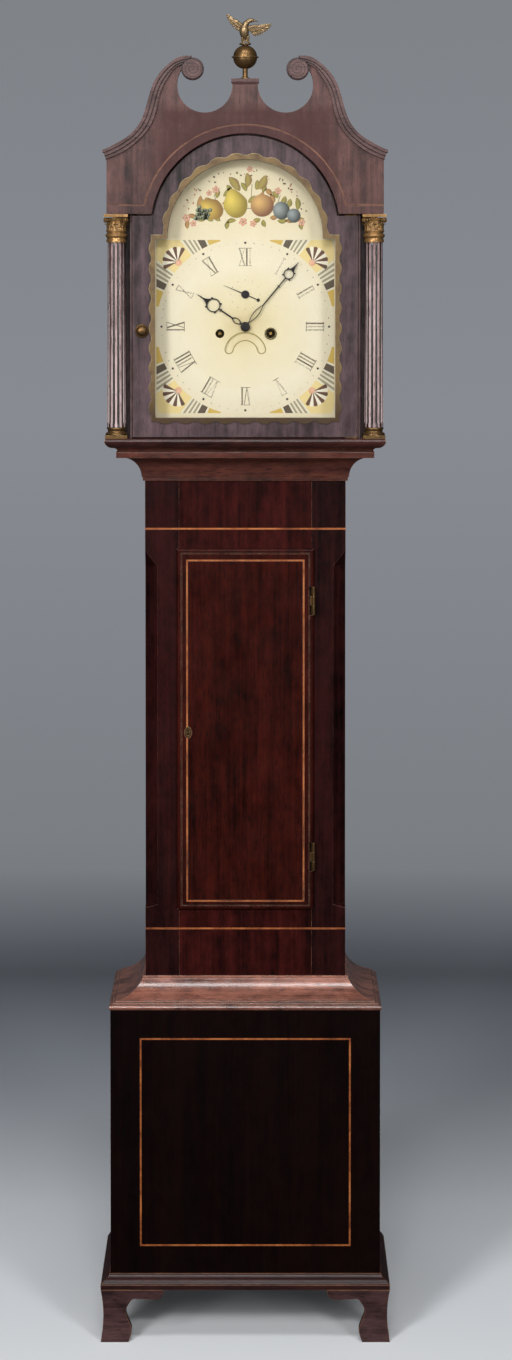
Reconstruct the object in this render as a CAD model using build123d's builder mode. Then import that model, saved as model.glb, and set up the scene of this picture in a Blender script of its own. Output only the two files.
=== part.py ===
import os
from math import cos, radians, sin

from build123d import *

os.makedirs("parts", exist_ok=True)

# A longcase clock, in millimetres. +X is the clock's left-to-right as one faces it, +Y goes
# back to the wall and +Z up. The origin is on the floor, under the middle of the case.

# Driving dimensions of the case
wall_y = 127.0
base_half = 238.5
base_front = -110.0
base_thick = 16.0
trunk_half = 178.5
trunk_front = -50.0
trunk_thick = 14.0
frame_thick = 18.0
back_thick = 14.0
back_y = wall_y - back_thick

# Heights, from the floor up
foot_high = 93.0
base_top = 586.0
cove_top = 633.0
lower_line_z = 717.0
door_low = 752.0
door_high = 1398.0
upper_line_z = 1433.0
throat_low = 1519.0
hood_low = 1581.0
hood_floor = 1598.0
seat_low = 1682.0
frieze_low = 1993.0
frieze_high = 2105.0

# Hood
hood_half = 247.0
hood_front = -118.5
board_half = 243.0
board_front = -114.5
board_thick = 18.0
side_half = 234.0
column_x = 226.6
column_y = -98.0
arch_z = 1968.0
arch_radius = 166.0
string_wide = 3.0
string_deep = 1.2
knob_x = -181.5
knob_z = 1787.5

# Dial and movement
dial_z = 1793.4
dial_front = -62.0
dial_half = 164.0
dial_low = 1628.0
dial_high = 1955.0
dial_arch_z = 1952.0
dial_arch_radius = 139.0
seconds_z = dial_z + 57.0
winding_x = 45.0
winding_z = dial_z - 12.4
calendar_z = dial_z - 47.0
plate_front = -24.0
plate_thick = 3.0
plate_gap = 57.0
pallet_z = 1880.0
pendulum_y = 58.0
bob_z = 890.0
minute_angle = 39.6
hour_angle = -56.0
seconds_angle = -66.8


def board(x, y, z, mode=Mode.ADD):
    """A board given by its pair of limits along each axis."""
    with Locations(((x[0] + x[1]) / 2, (y[0] + y[1]) / 2, (z[0] + z[1]) / 2)):
        Box(x[1] - x[0], y[1] - y[0], z[1] - z[0], mode=mode)


def facing(y):
    """The upright plane at depth y that looks at the viewer; its local axes are X and Z."""
    return Plane.XZ.offset(-y)


def turned(y, z, angle):
    """A facing plane at height z whose upright axis is turned clockwise by angle."""
    a = radians(angle)
    return Plane(origin=(0, y, z), x_dir=(cos(a), 0, -sin(a)), z_dir=(0, -1, 0))


def wrap_plane(half, back):
    """The plane of a moulding's section where its run starts, at the right rear corner."""
    return Plane(origin=(half, back, 0), x_dir=(1, 0, 0), z_dir=(0, -1, 0))


def wrap_path(half, front, back):
    """The run of a moulding: forwards along the right side, across, and back along the left."""
    Polyline((half, back), (half, front), (-half, front), (-half, back))


def rod(centre, radius, length, mode=Mode.ADD):
    """A round bar along Y, given by the middle of its length."""
    with Locations(Location(centre, (90, 0, 0))):
        Cylinder(radius, length, mode=mode)


def write(part, label):
    """Label a finished piece and write its file."""
    part.label = label
    export_step(part, f"parts/{label}.step")


# Bracket feet. Each foot is two boards that meet at the corner, with a waisted outer face
# and a bracket cut below, and a glue block in the corner behind them.
foot_half = base_half + 17.0
foot_front = base_front - 17.0
foot_run = 111.0
foot_side_run = 92.0
foot_thick = 20.0
foot_waist = 4.5
foot_wide = 48.5


def bracket_cut(plane, run):
    """The shape cut away under a foot's bracket; local X runs along the board from the corner."""
    end = run - 0.5
    top = foot_high + 1
    with BuildSketch(plane) as cut:
        with BuildLine():
            Spline(
                (foot_wide, -1),
                (54.5, 18),
                (45.5, 46),
                (54, 73.5),
                tangents=((0.3, 1), (0.75, 1)),
            )
            ThreePointArc((54, 73.5), (58, 76), (63, 76))
            Line((63, 76), (end - 12.5, 74.5))
            ThreePointArc((end - 12.5, 74.5), (end - 3, 80), (end, top))
            Polyline((end, top), (run + 20, top), (run + 20, -1), (foot_wide, -1))
        make_face()
    return cut.sketch


with BuildPart() as foot:
    with BuildLine():
        Polyline(
            (-foot_half + foot_run, foot_front),
            (-foot_half, foot_front),
            (-foot_half, foot_front + foot_side_run),
        )
    with BuildSketch(
        Plane(origin=(-foot_half + foot_run, foot_front, 0), x_dir=(0, -1, 0), z_dir=(-1, 0, 0))
    ):
        with BuildLine():
            Polyline((0, 0), (-foot_thick, 0), (-foot_thick, foot_high), (0, foot_high))
            ThreePointArc((0, foot_high), (-foot_waist, 45), (0, 0))
        make_face()
    sweep(transition=Transition.RIGHT)
    front_cut_plane = Plane(
        origin=(-foot_half, foot_front + foot_thick + 2, 0), x_dir=(1, 0, 0), z_dir=(0, -1, 0)
    )
    extrude(bracket_cut(front_cut_plane, foot_run), amount=foot_thick + 4, mode=Mode.SUBTRACT)
    side_cut_plane = Plane(
        origin=(-foot_half - 2, foot_front, 0), x_dir=(0, 1, 0), z_dir=(1, 0, 0)
    )
    extrude(bracket_cut(side_cut_plane, foot_side_run), amount=foot_thick + 4, mode=Mode.SUBTRACT)
    block_x = -foot_half + foot_thick - 1
    block_y = foot_front + foot_thick - 1
    board((block_x, block_x + 25), (block_y, block_y + 25), (4, foot_high))

with BuildPart() as bracket_feet:
    add(foot.part)
    mirror(about=Plane.YZ)
    mirror(about=Plane.XZ)
write(bracket_feet.part, "bracket_feet")

# Base moulding round the foot of the case: a square edge below an ogee, mitred at the corners.
with BuildPart() as base_moulding:
    with BuildLine():
        wrap_path(base_half, base_front, wall_y)
    with BuildSketch(wrap_plane(base_half, wall_y)):
        with BuildLine():
            Polyline((0, foot_high), (17, foot_high), (17, 101.5), (15, 101.5), (15, 103))
            ThreePointArc((15, 103), (11, 108), (6.5, 110.5))
            ThreePointArc((6.5, 110.5), (3.5, 113), (2, 117.5))
            Polyline((2, 117.5), (0, 117.5), (0, foot_high))
        make_face()
    sweep(transition=Transition.RIGHT)
write(base_moulding.part, "base_moulding")

# Base: a veneered front panel with a pocket for its stringing, two sides and a floor.
panel_line_half = 186.5
panel_line_low = 165.6
panel_line_high = 536.5
panel_line_mid = (panel_line_low + panel_line_high) / 2
panel_line_tall = panel_line_high - panel_line_low

with BuildSketch(facing(base_front)) as panel_line:
    with Locations((0, panel_line_mid)):
        Rectangle(2 * panel_line_half, panel_line_tall)
        Rectangle(
            2 * (panel_line_half - string_wide),
            panel_line_tall - 2 * string_wide,
            mode=Mode.SUBTRACT,
        )

with BuildPart() as base_front_panel:
    board((-base_half, base_half), (base_front, base_front + frame_thick), (foot_high, base_top))
    extrude(panel_line.sketch, amount=-string_deep, mode=Mode.SUBTRACT)
write(base_front_panel.part, "base_front_panel")

with BuildPart() as base_sides:
    board((base_half - base_thick, base_half), (base_front + frame_thick, wall_y), (foot_high, base_top))
    mirror(about=Plane.YZ)
write(base_sides.part, "base_sides")

with BuildPart() as base_floor:
    floor_half = base_half - base_thick
    board((-floor_half, floor_half), (base_front + frame_thick, back_y), (foot_high + 3, foot_high + 15))
write(base_floor.part, "base_floor")

# Cove moulding: from a bead on the base's top edge it sweeps in and up to the trunk.
cove_run = base_half - trunk_half
with BuildPart() as base_cove_moulding:
    with BuildLine():
        wrap_path(trunk_half, trunk_front, wall_y)
    with BuildSketch(wrap_plane(trunk_half, wall_y)):
        with BuildLine():
            Polyline((0, base_top), (cove_run, base_top))
            ThreePointArc((cove_run, base_top), (cove_run + 2.5, base_top + 4), (cove_run, base_top + 8))
            Polyline(
                (cove_run, base_top + 8),
                (cove_run - 3.5, base_top + 8),
                (cove_run - 3.5, base_top + 11),
                (cove_run - 9, base_top + 11),
                (cove_run - 9, base_top + 14),
            )
            ThreePointArc((cove_run - 9, base_top + 14), (19.5, base_top + 25), (5, cove_top - 4))
            Polyline((5, cove_top - 4), (5, cove_top), (0, cove_top), (0, base_top))
        make_face()
    sweep(transition=Transition.RIGHT)
write(base_cove_moulding.part, "base_cove_moulding")

# Backboard: one board, widest in the hood, narrow in the trunk, and wide again in the base.
back_hood_half = 218.0
with BuildPart() as backboard:
    board((-base_half + base_thick, base_half - base_thick), (back_y, wall_y), (foot_high, base_top))
    board((-trunk_half + trunk_thick, trunk_half - trunk_thick), (back_y, wall_y), (base_top, hood_floor + 2))
    board((-back_hood_half, back_hood_half), (back_y, wall_y), (hood_floor + 2, frieze_high - 14))
write(backboard.part, "backboard")

# Trunk: two sides that run up inside the hood as cheeks, two stiles with canted corners and
# two rails. Two stringing lines cross the front.
opening_half = 118.0
opening_low = door_low + 3
opening_high = door_high - 3
trunk_foot = base_top - 26
cant_x = 23.0
cant_y = 15.0

with BuildPart() as trunk_sides:
    board((trunk_half - trunk_thick, trunk_half), (trunk_front + frame_thick, back_y), (trunk_foot, seat_low))
    board((trunk_half - trunk_thick, trunk_half), (back_y, wall_y), (base_top, hood_floor))
    mirror(about=Plane.YZ)
write(trunk_sides.part, "trunk_sides")


def trunk_line_pockets():
    """The shallow pockets of the two lines across the trunk."""
    for line_z in (lower_line_z, upper_line_z):
        board(
            (-trunk_half - 1, trunk_half + 1),
            (trunk_front - 1, trunk_front + string_deep),
            (line_z - string_wide / 2, line_z + string_wide / 2),
            mode=Mode.SUBTRACT,
        )


def cant_section(z, share):
    """The triangle cut off the right front corner at height z."""
    with BuildSketch(Plane.XY.offset(z)) as section:
        with BuildLine():
            Polyline(
                (trunk_half + 1, trunk_front - 1),
                (trunk_half + 1 - cant_x * share, trunk_front - 1),
                (trunk_half + 1, trunk_front - 1 + cant_y * share),
                close=True,
            )
        make_face()
    return section.sketch


with BuildPart() as trunk_stiles:
    board((opening_half, trunk_half), (trunk_front, trunk_front + frame_thick), (trunk_foot, hood_low))
    extrude(cant_section(door_low + 8, 1.07), amount=door_high - door_low - 40, mode=Mode.SUBTRACT)
    loft(
        [cant_section(door_high - 32, 1.07), cant_section(door_high - 2, 0.08)],
        mode=Mode.SUBTRACT,
    )
    loft(
        [cant_section(door_low + 2, 0.08), cant_section(door_low + 8, 1.07)],
        mode=Mode.SUBTRACT,
    )
    mirror(about=Plane.YZ)
    trunk_line_pockets()
write(trunk_stiles.part, "trunk_stiles")

with BuildPart() as trunk_rails:
    board((-opening_half, opening_half), (trunk_front, trunk_front + frame_thick), (trunk_foot, opening_low))
    board((-opening_half, opening_half), (trunk_front, trunk_front + frame_thick), (opening_high, hood_low))
    trunk_line_pockets()
write(trunk_rails.part, "trunk_rails")

# Stringing of the case: light wood strips glued flush into their pockets.
with BuildPart() as case_stringing:
    extrude(panel_line.sketch, amount=-string_deep)
    for line_z in (lower_line_z, upper_line_z):
        board(
            (-trunk_half, trunk_half),
            (trunk_front, trunk_front + string_deep),
            (line_z - string_wide / 2, line_z + string_wide / 2),
        )
write(case_stringing.part, "case_stringing")

# Throat moulding: a cove that widens from the trunk to carry the hood.
throat_out = 49.0
with BuildPart() as throat_moulding:
    with BuildLine():
        wrap_path(trunk_half, trunk_front, wall_y)
    with BuildSketch(wrap_plane(trunk_half, wall_y)):
        with BuildLine():
            Polyline((0, throat_low), (4, throat_low), (4, throat_low + 6), (6, throat_low + 8))
            ThreePointArc((6, throat_low + 8), (18.5, hood_low - 27), (throat_out, hood_low - 18))
            Polyline(
                (throat_out, hood_low - 18),
                (throat_out, hood_low - 8),
                (throat_out - 3, hood_low - 8),
            )
            ThreePointArc(
                (throat_out - 3, hood_low - 8),
                (throat_out - 1, hood_low - 3),
                (throat_out + 3, hood_low),
            )
            Polyline((throat_out + 3, hood_low), (0, hood_low), (0, throat_low))
        make_face()
    sweep(transition=Transition.RIGHT)
write(throat_moulding.part, "throat_moulding")

# Trunk door: a board that fills the opening, with a lip over the frame whose edge is rounded
# and beaded. The lip is notched for the two hinge knuckles.
lip_half = 122.0
lip_thick = 6.6
lip_back = trunk_front - 0.4
lip_front = lip_back - lip_thick
lip_radius = 4.0
body_half = 115.0
body_back = lip_back + 14.0
hinge_x = 121.5
hinge_y = lip_front + 1.5
hinge_long = 50.0
hinge_heights = (847.0, 1305.0)
knuckle_radius = 3.3
pin_radius = 1.5
lock_z = 1070.0
lock_x = -102.0
door_line_half = 105.0
door_line_low = 767.0
door_line_high = 1378.5
door_mid = (door_low + door_high) / 2

with BuildSketch(facing(lip_front)) as door_line:
    with Locations((0, (door_line_low + door_line_high) / 2)):
        Rectangle(2 * door_line_half, door_line_high - door_line_low)
        Rectangle(
            2 * (door_line_half - 2.5),
            door_line_high - door_line_low - 5,
            mode=Mode.SUBTRACT,
        )
    with Locations((lock_x, lock_z)):
        Ellipse(6.6, 10.2, mode=Mode.SUBTRACT)

with BuildSketch(facing(lip_front)) as escutcheon_shape:
    with Locations((lock_x, lock_z)):
        Ellipse(6.6, 10.2)
        with Locations((0, 2.6)):
            Circle(2.4, mode=Mode.SUBTRACT)
        with Locations((0, -1.6)):
            Rectangle(2.2, 8.4, mode=Mode.SUBTRACT)

with BuildPart() as trunk_door:
    board((-lip_half, lip_half), (lip_front, lip_back), (door_low, door_high))
    fillet(trunk_door.faces().sort_by(Axis.Y)[0].edges(), lip_radius)
    board((-body_half, body_half), (lip_back, body_back), (opening_low + 3, opening_high - 3))
    with BuildSketch(facing(lip_front)):
        with Locations((0, door_mid)):
            Rectangle(2 * lip_half - 15, door_high - door_low - 15)
            Rectangle(2 * lip_half - 18, door_high - door_low - 18, mode=Mode.SUBTRACT)
    extrude(amount=-0.9, mode=Mode.SUBTRACT)
    extrude(door_line.sketch, amount=-string_deep, mode=Mode.SUBTRACT)
    with BuildSketch(facing(lip_front)):
        with Locations((lock_x, lock_z)):
            Ellipse(6.6, 10.2)
    extrude(amount=-string_deep, mode=Mode.SUBTRACT)
    with BuildSketch(facing(lip_front)):
        with Locations((lock_x, lock_z)):
            Rectangle(2.2, 10)
    extrude(amount=-30, mode=Mode.SUBTRACT)
    for hinge_z in hinge_heights:
        board(
            (body_half - 0.2, lip_half + 2),
            (lip_front - 1, lip_back + 0.01),
            (hinge_z - hinge_long / 2 - 0.6, hinge_z + hinge_long / 2 + 0.6),
            mode=Mode.SUBTRACT,
        )
write(trunk_door.part, "trunk_door")

with BuildPart() as door_stringing:
    extrude(door_line.sketch, amount=-string_deep)
write(door_stringing.part, "door_stringing")

with BuildPart() as door_escutcheon:
    extrude(escutcheon_shape.sketch, amount=-string_deep)
write(door_escutcheon.part, "door_escutcheon")

# Lock: a brass case screwed behind the door, with a bolt that shoots behind the stile.
lock_left = -113.0
lock_right = -78.0
bolt_front = trunk_front + frame_thick + 2.0
bolt_thick = 4.0
bolt_tall = 10.0
with BuildPart() as door_lock_case:
    board((lock_left, lock_right), (body_back, body_back + 12), (lock_z - 22, lock_z + 22))
    board(
        (lock_left - 1, lock_right - 6),
        (bolt_front - 0.1, bolt_front + bolt_thick + 0.1),
        (lock_z - bolt_tall / 2 - 0.1, lock_z + bolt_tall / 2 + 0.1),
        mode=Mode.SUBTRACT,
    )
write(door_lock_case.part, "door_lock_case")

with BuildPart() as lock_bolt:
    board(
        (lock_left - 3, lock_right - 18),
        (bolt_front, bolt_front + bolt_thick),
        (lock_z - bolt_tall / 2, lock_z + bolt_tall / 2),
    )
write(lock_bolt.part, "lock_bolt")

# Trunk hinges: each has three knuckles on one pin. The outer two are the frame's.
leaf = 1.2
knuckle_gap = 0.3
knuckle_long = hinge_long / 3


def knuckle(z_low, z_high, bore):
    """One hinge knuckle between two heights, bored if it turns on the pin."""
    with Locations((hinge_x, hinge_y, (z_low + z_high) / 2)):
        Cylinder(knuckle_radius, z_high - z_low)
        if bore:
            Cylinder(pin_radius + 0.05, z_high - z_low, mode=Mode.SUBTRACT)


with BuildPart() as trunk_hinge_leaves:
    for hinge_z in hinge_heights:
        low = hinge_z - hinge_long / 2
        mid_low = hinge_z - knuckle_long / 2
        mid_high = hinge_z + knuckle_long / 2
        high = hinge_z + hinge_long / 2
        for start, end in ((low, mid_low - knuckle_gap), (mid_high + knuckle_gap, high)):
            board((hinge_x - 0.6, hinge_x + 0.6), (hinge_y, trunk_front), (start, end))
            board((opening_half - leaf, hinge_x + 0.6), (trunk_front - leaf, trunk_front), (start, end))
            knuckle(start, end, False)
        with Locations((hinge_x, hinge_y, hinge_z)):
            Cylinder(pin_radius, hinge_long - 2)
        board((opening_half - leaf, opening_half), (trunk_front - leaf, trunk_front + 14), (low, high))
write(trunk_hinge_leaves.part, "trunk_hinge_leaves")

with BuildPart() as door_hinge_leaves:
    for hinge_z in hinge_heights:
        low = hinge_z - knuckle_long / 2
        high = hinge_z + knuckle_long / 2
        board((body_half, hinge_x), (hinge_y - leaf / 2, hinge_y + leaf / 2), (low, high))
        knuckle(low, high, False)
        with Locations((hinge_x, hinge_y, hinge_z)):
            Cylinder(pin_radius + 0.05, knuckle_long, mode=Mode.SUBTRACT)
        board((body_half, body_half + leaf), (hinge_y - leaf / 2, body_back), (low, high))
write(door_hinge_leaves.part, "door_hinge_leaves")

# Hood base: a moulded frame of three sides that slides on the throat moulding.
hood_inner = 182.0
hood_out = hood_half - hood_inner
pivot_x = 193.0
pivot_y = -102.5
pivot_radius = 2.0
with BuildPart() as hood_base_frame:
    with BuildLine():
        wrap_path(hood_inner, hood_front + hood_out, wall_y)
    with BuildSketch(wrap_plane(hood_inner, wall_y)):
        with BuildLine():
            Polyline((0, hood_low), (hood_out - 15, hood_low))
            ThreePointArc(
                (hood_out - 15, hood_low),
                (hood_out - 6, hood_low + 2.73),
                (hood_out, hood_low + 10),
            )
            ThreePointArc(
                (hood_out, hood_low + 10),
                (hood_out - 0.6, hood_low + 15.5),
                (hood_out - 4, hood_floor),
            )
            Polyline((hood_out - 4, hood_floor), (0, hood_floor), (0, hood_low))
        make_face()
    sweep(transition=Transition.RIGHT)
    with Locations((pivot_x, pivot_y, hood_floor - 3.5)):
        Cylinder(pivot_radius + 0.1, 8, mode=Mode.SUBTRACT)
write(hood_base_frame.part, "hood_base_frame")

# Hood sides: a tall board each side with a narrow stile behind the column, and above it the
# frieze with a cornice that carries the front's moulding back to the wall.
stile_y = -72.5
cornice_low = 2088.0
with BuildPart() as hood_sides:
    board((side_half - 14, side_half), (stile_y, wall_y), (hood_floor, frieze_high - 12))
    board((196, side_half - 14), (stile_y, stile_y + 12), (hood_floor, frieze_high - 12))
    board((side_half, board_half), (board_front + board_thick, wall_y), (frieze_low, frieze_high))
    with BuildSketch(wrap_plane(board_half, wall_y)):
        with BuildLine():
            Polyline((0, cornice_low), (1.5, cornice_low))
            ThreePointArc((1.5, cornice_low), (2.5, cornice_low + 7), (6, cornice_low + 12))
            Polyline((6, cornice_low + 12), (7, cornice_low + 12), (7, frieze_high), (0, frieze_high))
            Line((0, frieze_high), (0, cornice_low))
        make_face()
    extrude(amount=wall_y - board_front)
    mirror(about=Plane.YZ)
write(hood_sides.part, "hood_sides")

with BuildPart() as hood_roof:
    board((-side_half, side_half), (stile_y, wall_y), (frieze_high - 12, frieze_high))
write(hood_roof.part, "hood_roof")

# Dial mask: the board behind the door that frames the dial, with a strip at each edge that
# closes the gap beside the door.
mask_front = -84.5
mask_half = 202.0
mask_open_half = 161.0
mask_open_low = 1630.5
mask_open_high = 1950.0
mask_arch_radius = 137.0
with BuildPart() as dial_mask:
    with BuildSketch(facing(stile_y)):
        with Locations((0, (hood_floor + frieze_high) / 2)):
            Rectangle(2 * mask_half, frieze_high - hood_floor)
        with Locations((0, arch_z)):
            Circle(arch_radius + 6)
        with Locations((0, (mask_open_low + mask_open_high) / 2)):
            Rectangle(2 * mask_open_half, mask_open_high - mask_open_low, mode=Mode.SUBTRACT)
        with Locations((0, dial_arch_z)):
            Circle(mask_arch_radius, mode=Mode.SUBTRACT)
    extrude(amount=stile_y - mask_front)
    board((199.3, 202.3), (-103.0, mask_front), (hood_floor, frieze_low))
    board((-202.3, -199.3), (-103.0, mask_front), (hood_floor, frieze_low))
    board((-203, -199), (mask_front - 2.5, mask_front), (knob_z - 13, knob_z + 5.5), mode=Mode.SUBTRACT)
write(dial_mask.part, "dial_mask")

# Front board of the hood: an arch below, two round cut-outs above, and between them the neck
# that carries the finial. The swan-neck mouldings follow its upper edge.
notch_x = 70.8
notch_z = 2219.0
notch_radius = 48.5
scroll_x = 92.0
scroll_z = 2246.5
scroll_radius = 19.0
neck_top = 2219.0
line_radius = arch_radius + 14
line_low = frieze_low + 14
swan_outer = (
    (-249.5, 2105.0),
    (-228.0, 2115.0),
    (-203.5, 2130.0),
    (-183.0, 2154.5),
    (-169.0, 2196.0),
    (-154.0, 2233.0),
    (-127.0, 2260.5),
    (-93.0, 2269.0),
)
swan_inner = (
    (-244.0, 2089.0),
    (-218.3, 2099.5),
    (-190.4, 2119.0),
    (-168.0, 2144.0),
    (-155.5, 2175.0),
    (-146.0, 2212.0),
    (-131.0, 2238.0),
    (-104.0, 2256.0),
)


with BuildSketch(facing(board_front)) as hood_line:
    with Locations((0, line_low + string_wide / 2)):
        Rectangle(2 * board_half, string_wide)
    with Locations((0, arch_z)):
        Circle(line_radius + string_wide)
        Circle(line_radius, mode=Mode.SUBTRACT)
    with Locations((0, line_low - 150)):
        Rectangle(3 * board_half, 300, mode=Mode.SUBTRACT)
    with Locations((0, arch_z)):
        Circle(line_radius, mode=Mode.SUBTRACT)

with BuildPart() as hood_front_board:
    with BuildSketch(facing(board_front + board_thick)):
        with BuildLine():
            left_edge = Polyline((-board_half, frieze_low), (-board_half, 2106))
            left_curve = Spline(
                (-board_half, 2106),
                *[(x + 1.5, z - 3) for x, z in swan_outer[2:]],
                tangents=((1, 0.4), (1, 0)),
            )
            Line((-board_half, frieze_low), (0, frieze_low))
            Line((0, frieze_low), (0, neck_top))
            Line((0, neck_top), (left_curve @ 1))
        make_face()
        mirror(about=Plane.YZ)
        for side in (-1, 1):
            with Locations((side * notch_x, notch_z)):
                Circle(notch_radius, mode=Mode.SUBTRACT)
        with Locations((0, neck_top + 25)):
            Rectangle(2 * notch_x, 50, mode=Mode.SUBTRACT)
        for side in (-1, 1):
            with Locations((side * scroll_x, scroll_z)):
                Circle(scroll_radius - 1)
        with Locations((0, arch_z)):
            Circle(arch_radius, mode=Mode.SUBTRACT)
    extrude(amount=board_thick)
    extrude(hood_line.sketch, amount=-string_deep, mode=Mode.SUBTRACT)
    with Locations((pivot_x, pivot_y, frieze_low + 2)):
        Cylinder(pivot_radius + 0.1, 12, mode=Mode.SUBTRACT)
write(hood_front_board.part, "hood_front_board")

with BuildPart() as hood_stringing:
    extrude(hood_line.sketch, amount=-string_deep)
write(hood_stringing.part, "hood_stringing")


def swan_band(inset, y, depth):
    """One step of the swan-neck moulding on the left, its inner edge moved by inset."""
    with BuildSketch(facing(y)) as band:
        with BuildLine():
            outer = Spline(*swan_outer, tangents=((1, 0.35), (1, -0.1)))
            inner_points = [
                (xi + (xo - xi) * inset, zi + (zo - zi) * inset)
                for (xo, zo), (xi, zi) in zip(swan_outer, swan_inner)
            ]
            inner = Spline(*inner_points, tangents=((1, 0.35), (1, 0.2)))
            Line(outer @ 0, inner @ 0)
            Line(outer @ 1, inner @ 1)
        make_face()
        with Locations((-scroll_x, scroll_z)):
            Circle(scroll_radius + 1 - 4 * inset)
    extrude(band.sketch, amount=depth)


with BuildPart() as swan_neck_mouldings:
    swan_band(0.0, board_front, 5)
    swan_band(0.35, board_front, 9)
    swan_band(0.7, board_front, 12)
    with Locations(Location((-scroll_x, board_front - 11, scroll_z), (90, 0, 0))):
        Cylinder(scroll_radius * 0.55, 2)
    mirror(about=Plane.YZ)
write(swan_neck_mouldings.part, "swan_neck_mouldings")

# Finial: a moulded cap on the neck, a brass ball on a stem, and a brass eagle on the ball.
cap_half = 24.5
cap_thick = 11.0
stem_top = 2248.0
ball_z = 2267.7
ball_radius = 21.0
eagle_foot = 2289.0
finial_y = -102.8
with BuildPart() as finial_plinth:
    with Locations((0, finial_y, neck_top + cap_thick / 2)):
        Box(2 * cap_half, 28, cap_thick)
    chamfer(finial_plinth.faces().sort_by(Axis.Z)[0].edges(), length=5, length2=3)
write(finial_plinth.part, "finial_plinth")

with BuildPart() as finial_ball:
    with BuildSketch(Plane(origin=(0, finial_y, 0), x_dir=(1, 0, 0), z_dir=(0, -1, 0))):
        with BuildLine():
            base_z = neck_top + cap_thick
            Polyline((0, base_z), (8, base_z), (8, base_z + 1.5), (4.5, base_z + 3), (4.5, stem_top))
            low_arc = ThreePointArc((4.5, stem_top - 0.4), (18, ball_z - 11.2), (ball_radius, ball_z - 1.5))
            Polyline((4.5, stem_top), (4.5, stem_top - 0.4))
            Polyline(
                (ball_radius, ball_z - 1.5),
                (ball_radius + 2.7, ball_z - 1),
                (ball_radius + 2.7, ball_z + 1),
                (ball_radius, ball_z + 1.5),
            )
            ThreePointArc((ball_radius, ball_z + 1.5), (15, ball_z + 14.8), (5, ball_z + 20.4))
            Polyline((5, ball_z + 20.4), (5, eagle_foot), (0, eagle_foot), (0, base_z))
        make_face()
    revolve(axis=Axis((0, finial_y, 0), (0, 0, 1)))
write(finial_ball.part, "finial_ball")

with BuildPart() as finial_eagle:
    # Perch
    with Locations((0, finial_y, eagle_foot + 1.5)):
        Cylinder(9, 3)
    # Legs
    for leg_x in (-5, 5):
        with Locations((leg_x, finial_y, eagle_foot + 7)):
            Cylinder(2, 10)
    # Body, leaning to the right, with neck and head
    with BuildSketch(facing(finial_y)):
        with Locations(Location((-1, eagle_foot + 20.5), 62)):
            Ellipse(14, 9)
    extrude(amount=6, both=True)
    with BuildSketch(facing(finial_y)):
        with BuildLine():
            Spline((0, eagle_foot + 28), (-3, eagle_foot + 37), (5, eagle_foot + 43.5), (13, eagle_foot + 41))
            Spline((13, eagle_foot + 41), (7, eagle_foot + 38.5), (6, eagle_foot + 33), (9, eagle_foot + 26))
            Line((9, eagle_foot + 26), (0, eagle_foot + 28))
        make_face()
    extrude(amount=3.5, both=True)
    # Wings
    with BuildSketch(facing(finial_y + 2)):
        with BuildLine():
            Spline(
                (-6, eagle_foot + 30),
                (-13, eagle_foot + 37),
                (-24, eagle_foot + 46),
                (-33.5, eagle_foot + 55),
            )
            Spline(
                (-33.5, eagle_foot + 55),
                (-31, eagle_foot + 40),
                (-22, eagle_foot + 26),
                (-8, eagle_foot + 18),
            )
            Line((-8, eagle_foot + 18), (-6, eagle_foot + 30))
        make_face()
        with BuildLine():
            Spline((8, eagle_foot + 28), (18, eagle_foot + 32), (33, eagle_foot + 33), (47, eagle_foot + 37))
            Spline((47, eagle_foot + 37), (39, eagle_foot + 27), (25, eagle_foot + 18), (7, eagle_foot + 15))
            Line((7, eagle_foot + 15), (8, eagle_foot + 28))
        make_face()
    extrude(amount=4)
write(finial_eagle.part, "finial_eagle")

# Hood columns: fluted shafts between brass bases and brass leaf capitals.
shaft_low = 1618.0
shaft_high = 1943.0
shaft_radius_low = 16.5
shaft_radius_high = 15.0
flutes = 12
with BuildPart() as hood_columns:
    with Locations((column_x, column_y, (shaft_low + shaft_high) / 2)):
        Cone(shaft_radius_low, shaft_radius_high, shaft_high - shaft_low)
    with Locations((column_x, column_y, (shaft_low + shaft_high) / 2 + 1)):
        with PolarLocations(17.6, flutes, start_angle=360 / flutes / 2):
            Cylinder(3.1, shaft_high - shaft_low - 12, mode=Mode.SUBTRACT)
    mirror(about=Plane.YZ)
write(hood_columns.part, "hood_columns")

capital_top = frieze_low - 0.5
with BuildPart() as column_capitals:
    with BuildSketch(Plane(origin=(column_x, column_y, 0), x_dir=(1, 0, 0), z_dir=(0, -1, 0))):
        with BuildLine():
            Polyline((0, shaft_high), (15.5, shaft_high))
            ThreePointArc((15.5, shaft_high), (17.8, shaft_high + 2.5), (15.5, shaft_high + 5))
            Spline(
                (15.5, shaft_high + 5),
                (14.5, shaft_high + 18),
                (18, shaft_high + 34),
                (21, capital_top - 7),
            )
            Polyline((21, capital_top - 7), (0, capital_top - 7), (0, shaft_high))
        make_face()
    revolve(axis=Axis((column_x, column_y, 0), (0, 0, 1)))
    # Two rows of leaves round the bell
    for row_z, row_radius, leaf_tall in ((shaft_high + 12, 15.0, 15.0), (shaft_high + 25, 16.2, 17.0)):
        with Locations((column_x, column_y, row_z)):
            with PolarLocations(row_radius, 8, start_angle=(row_z - shaft_high) * 22.5 / 13):
                Box(3.4, 7.5, leaf_tall)
    # Abacus with hollow sides and a volute under each corner
    with BuildSketch(Plane.XY.offset(capital_top - 7)):
        with Locations((column_x, column_y)):
            Rectangle(46.5, 46.5)
            with PolarLocations(23.25 + 56, 4):
                Circle(60, mode=Mode.SUBTRACT)
    extrude(amount=7)
    with Locations((column_x, column_y, capital_top - 10)):
        with PolarLocations(24.5, 4, start_angle=45):
            Cylinder(5.0, 4.5, rotation=(90, 0, 0))
    mirror(about=Plane.YZ)
write(column_capitals.part, "column_capitals")

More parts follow.
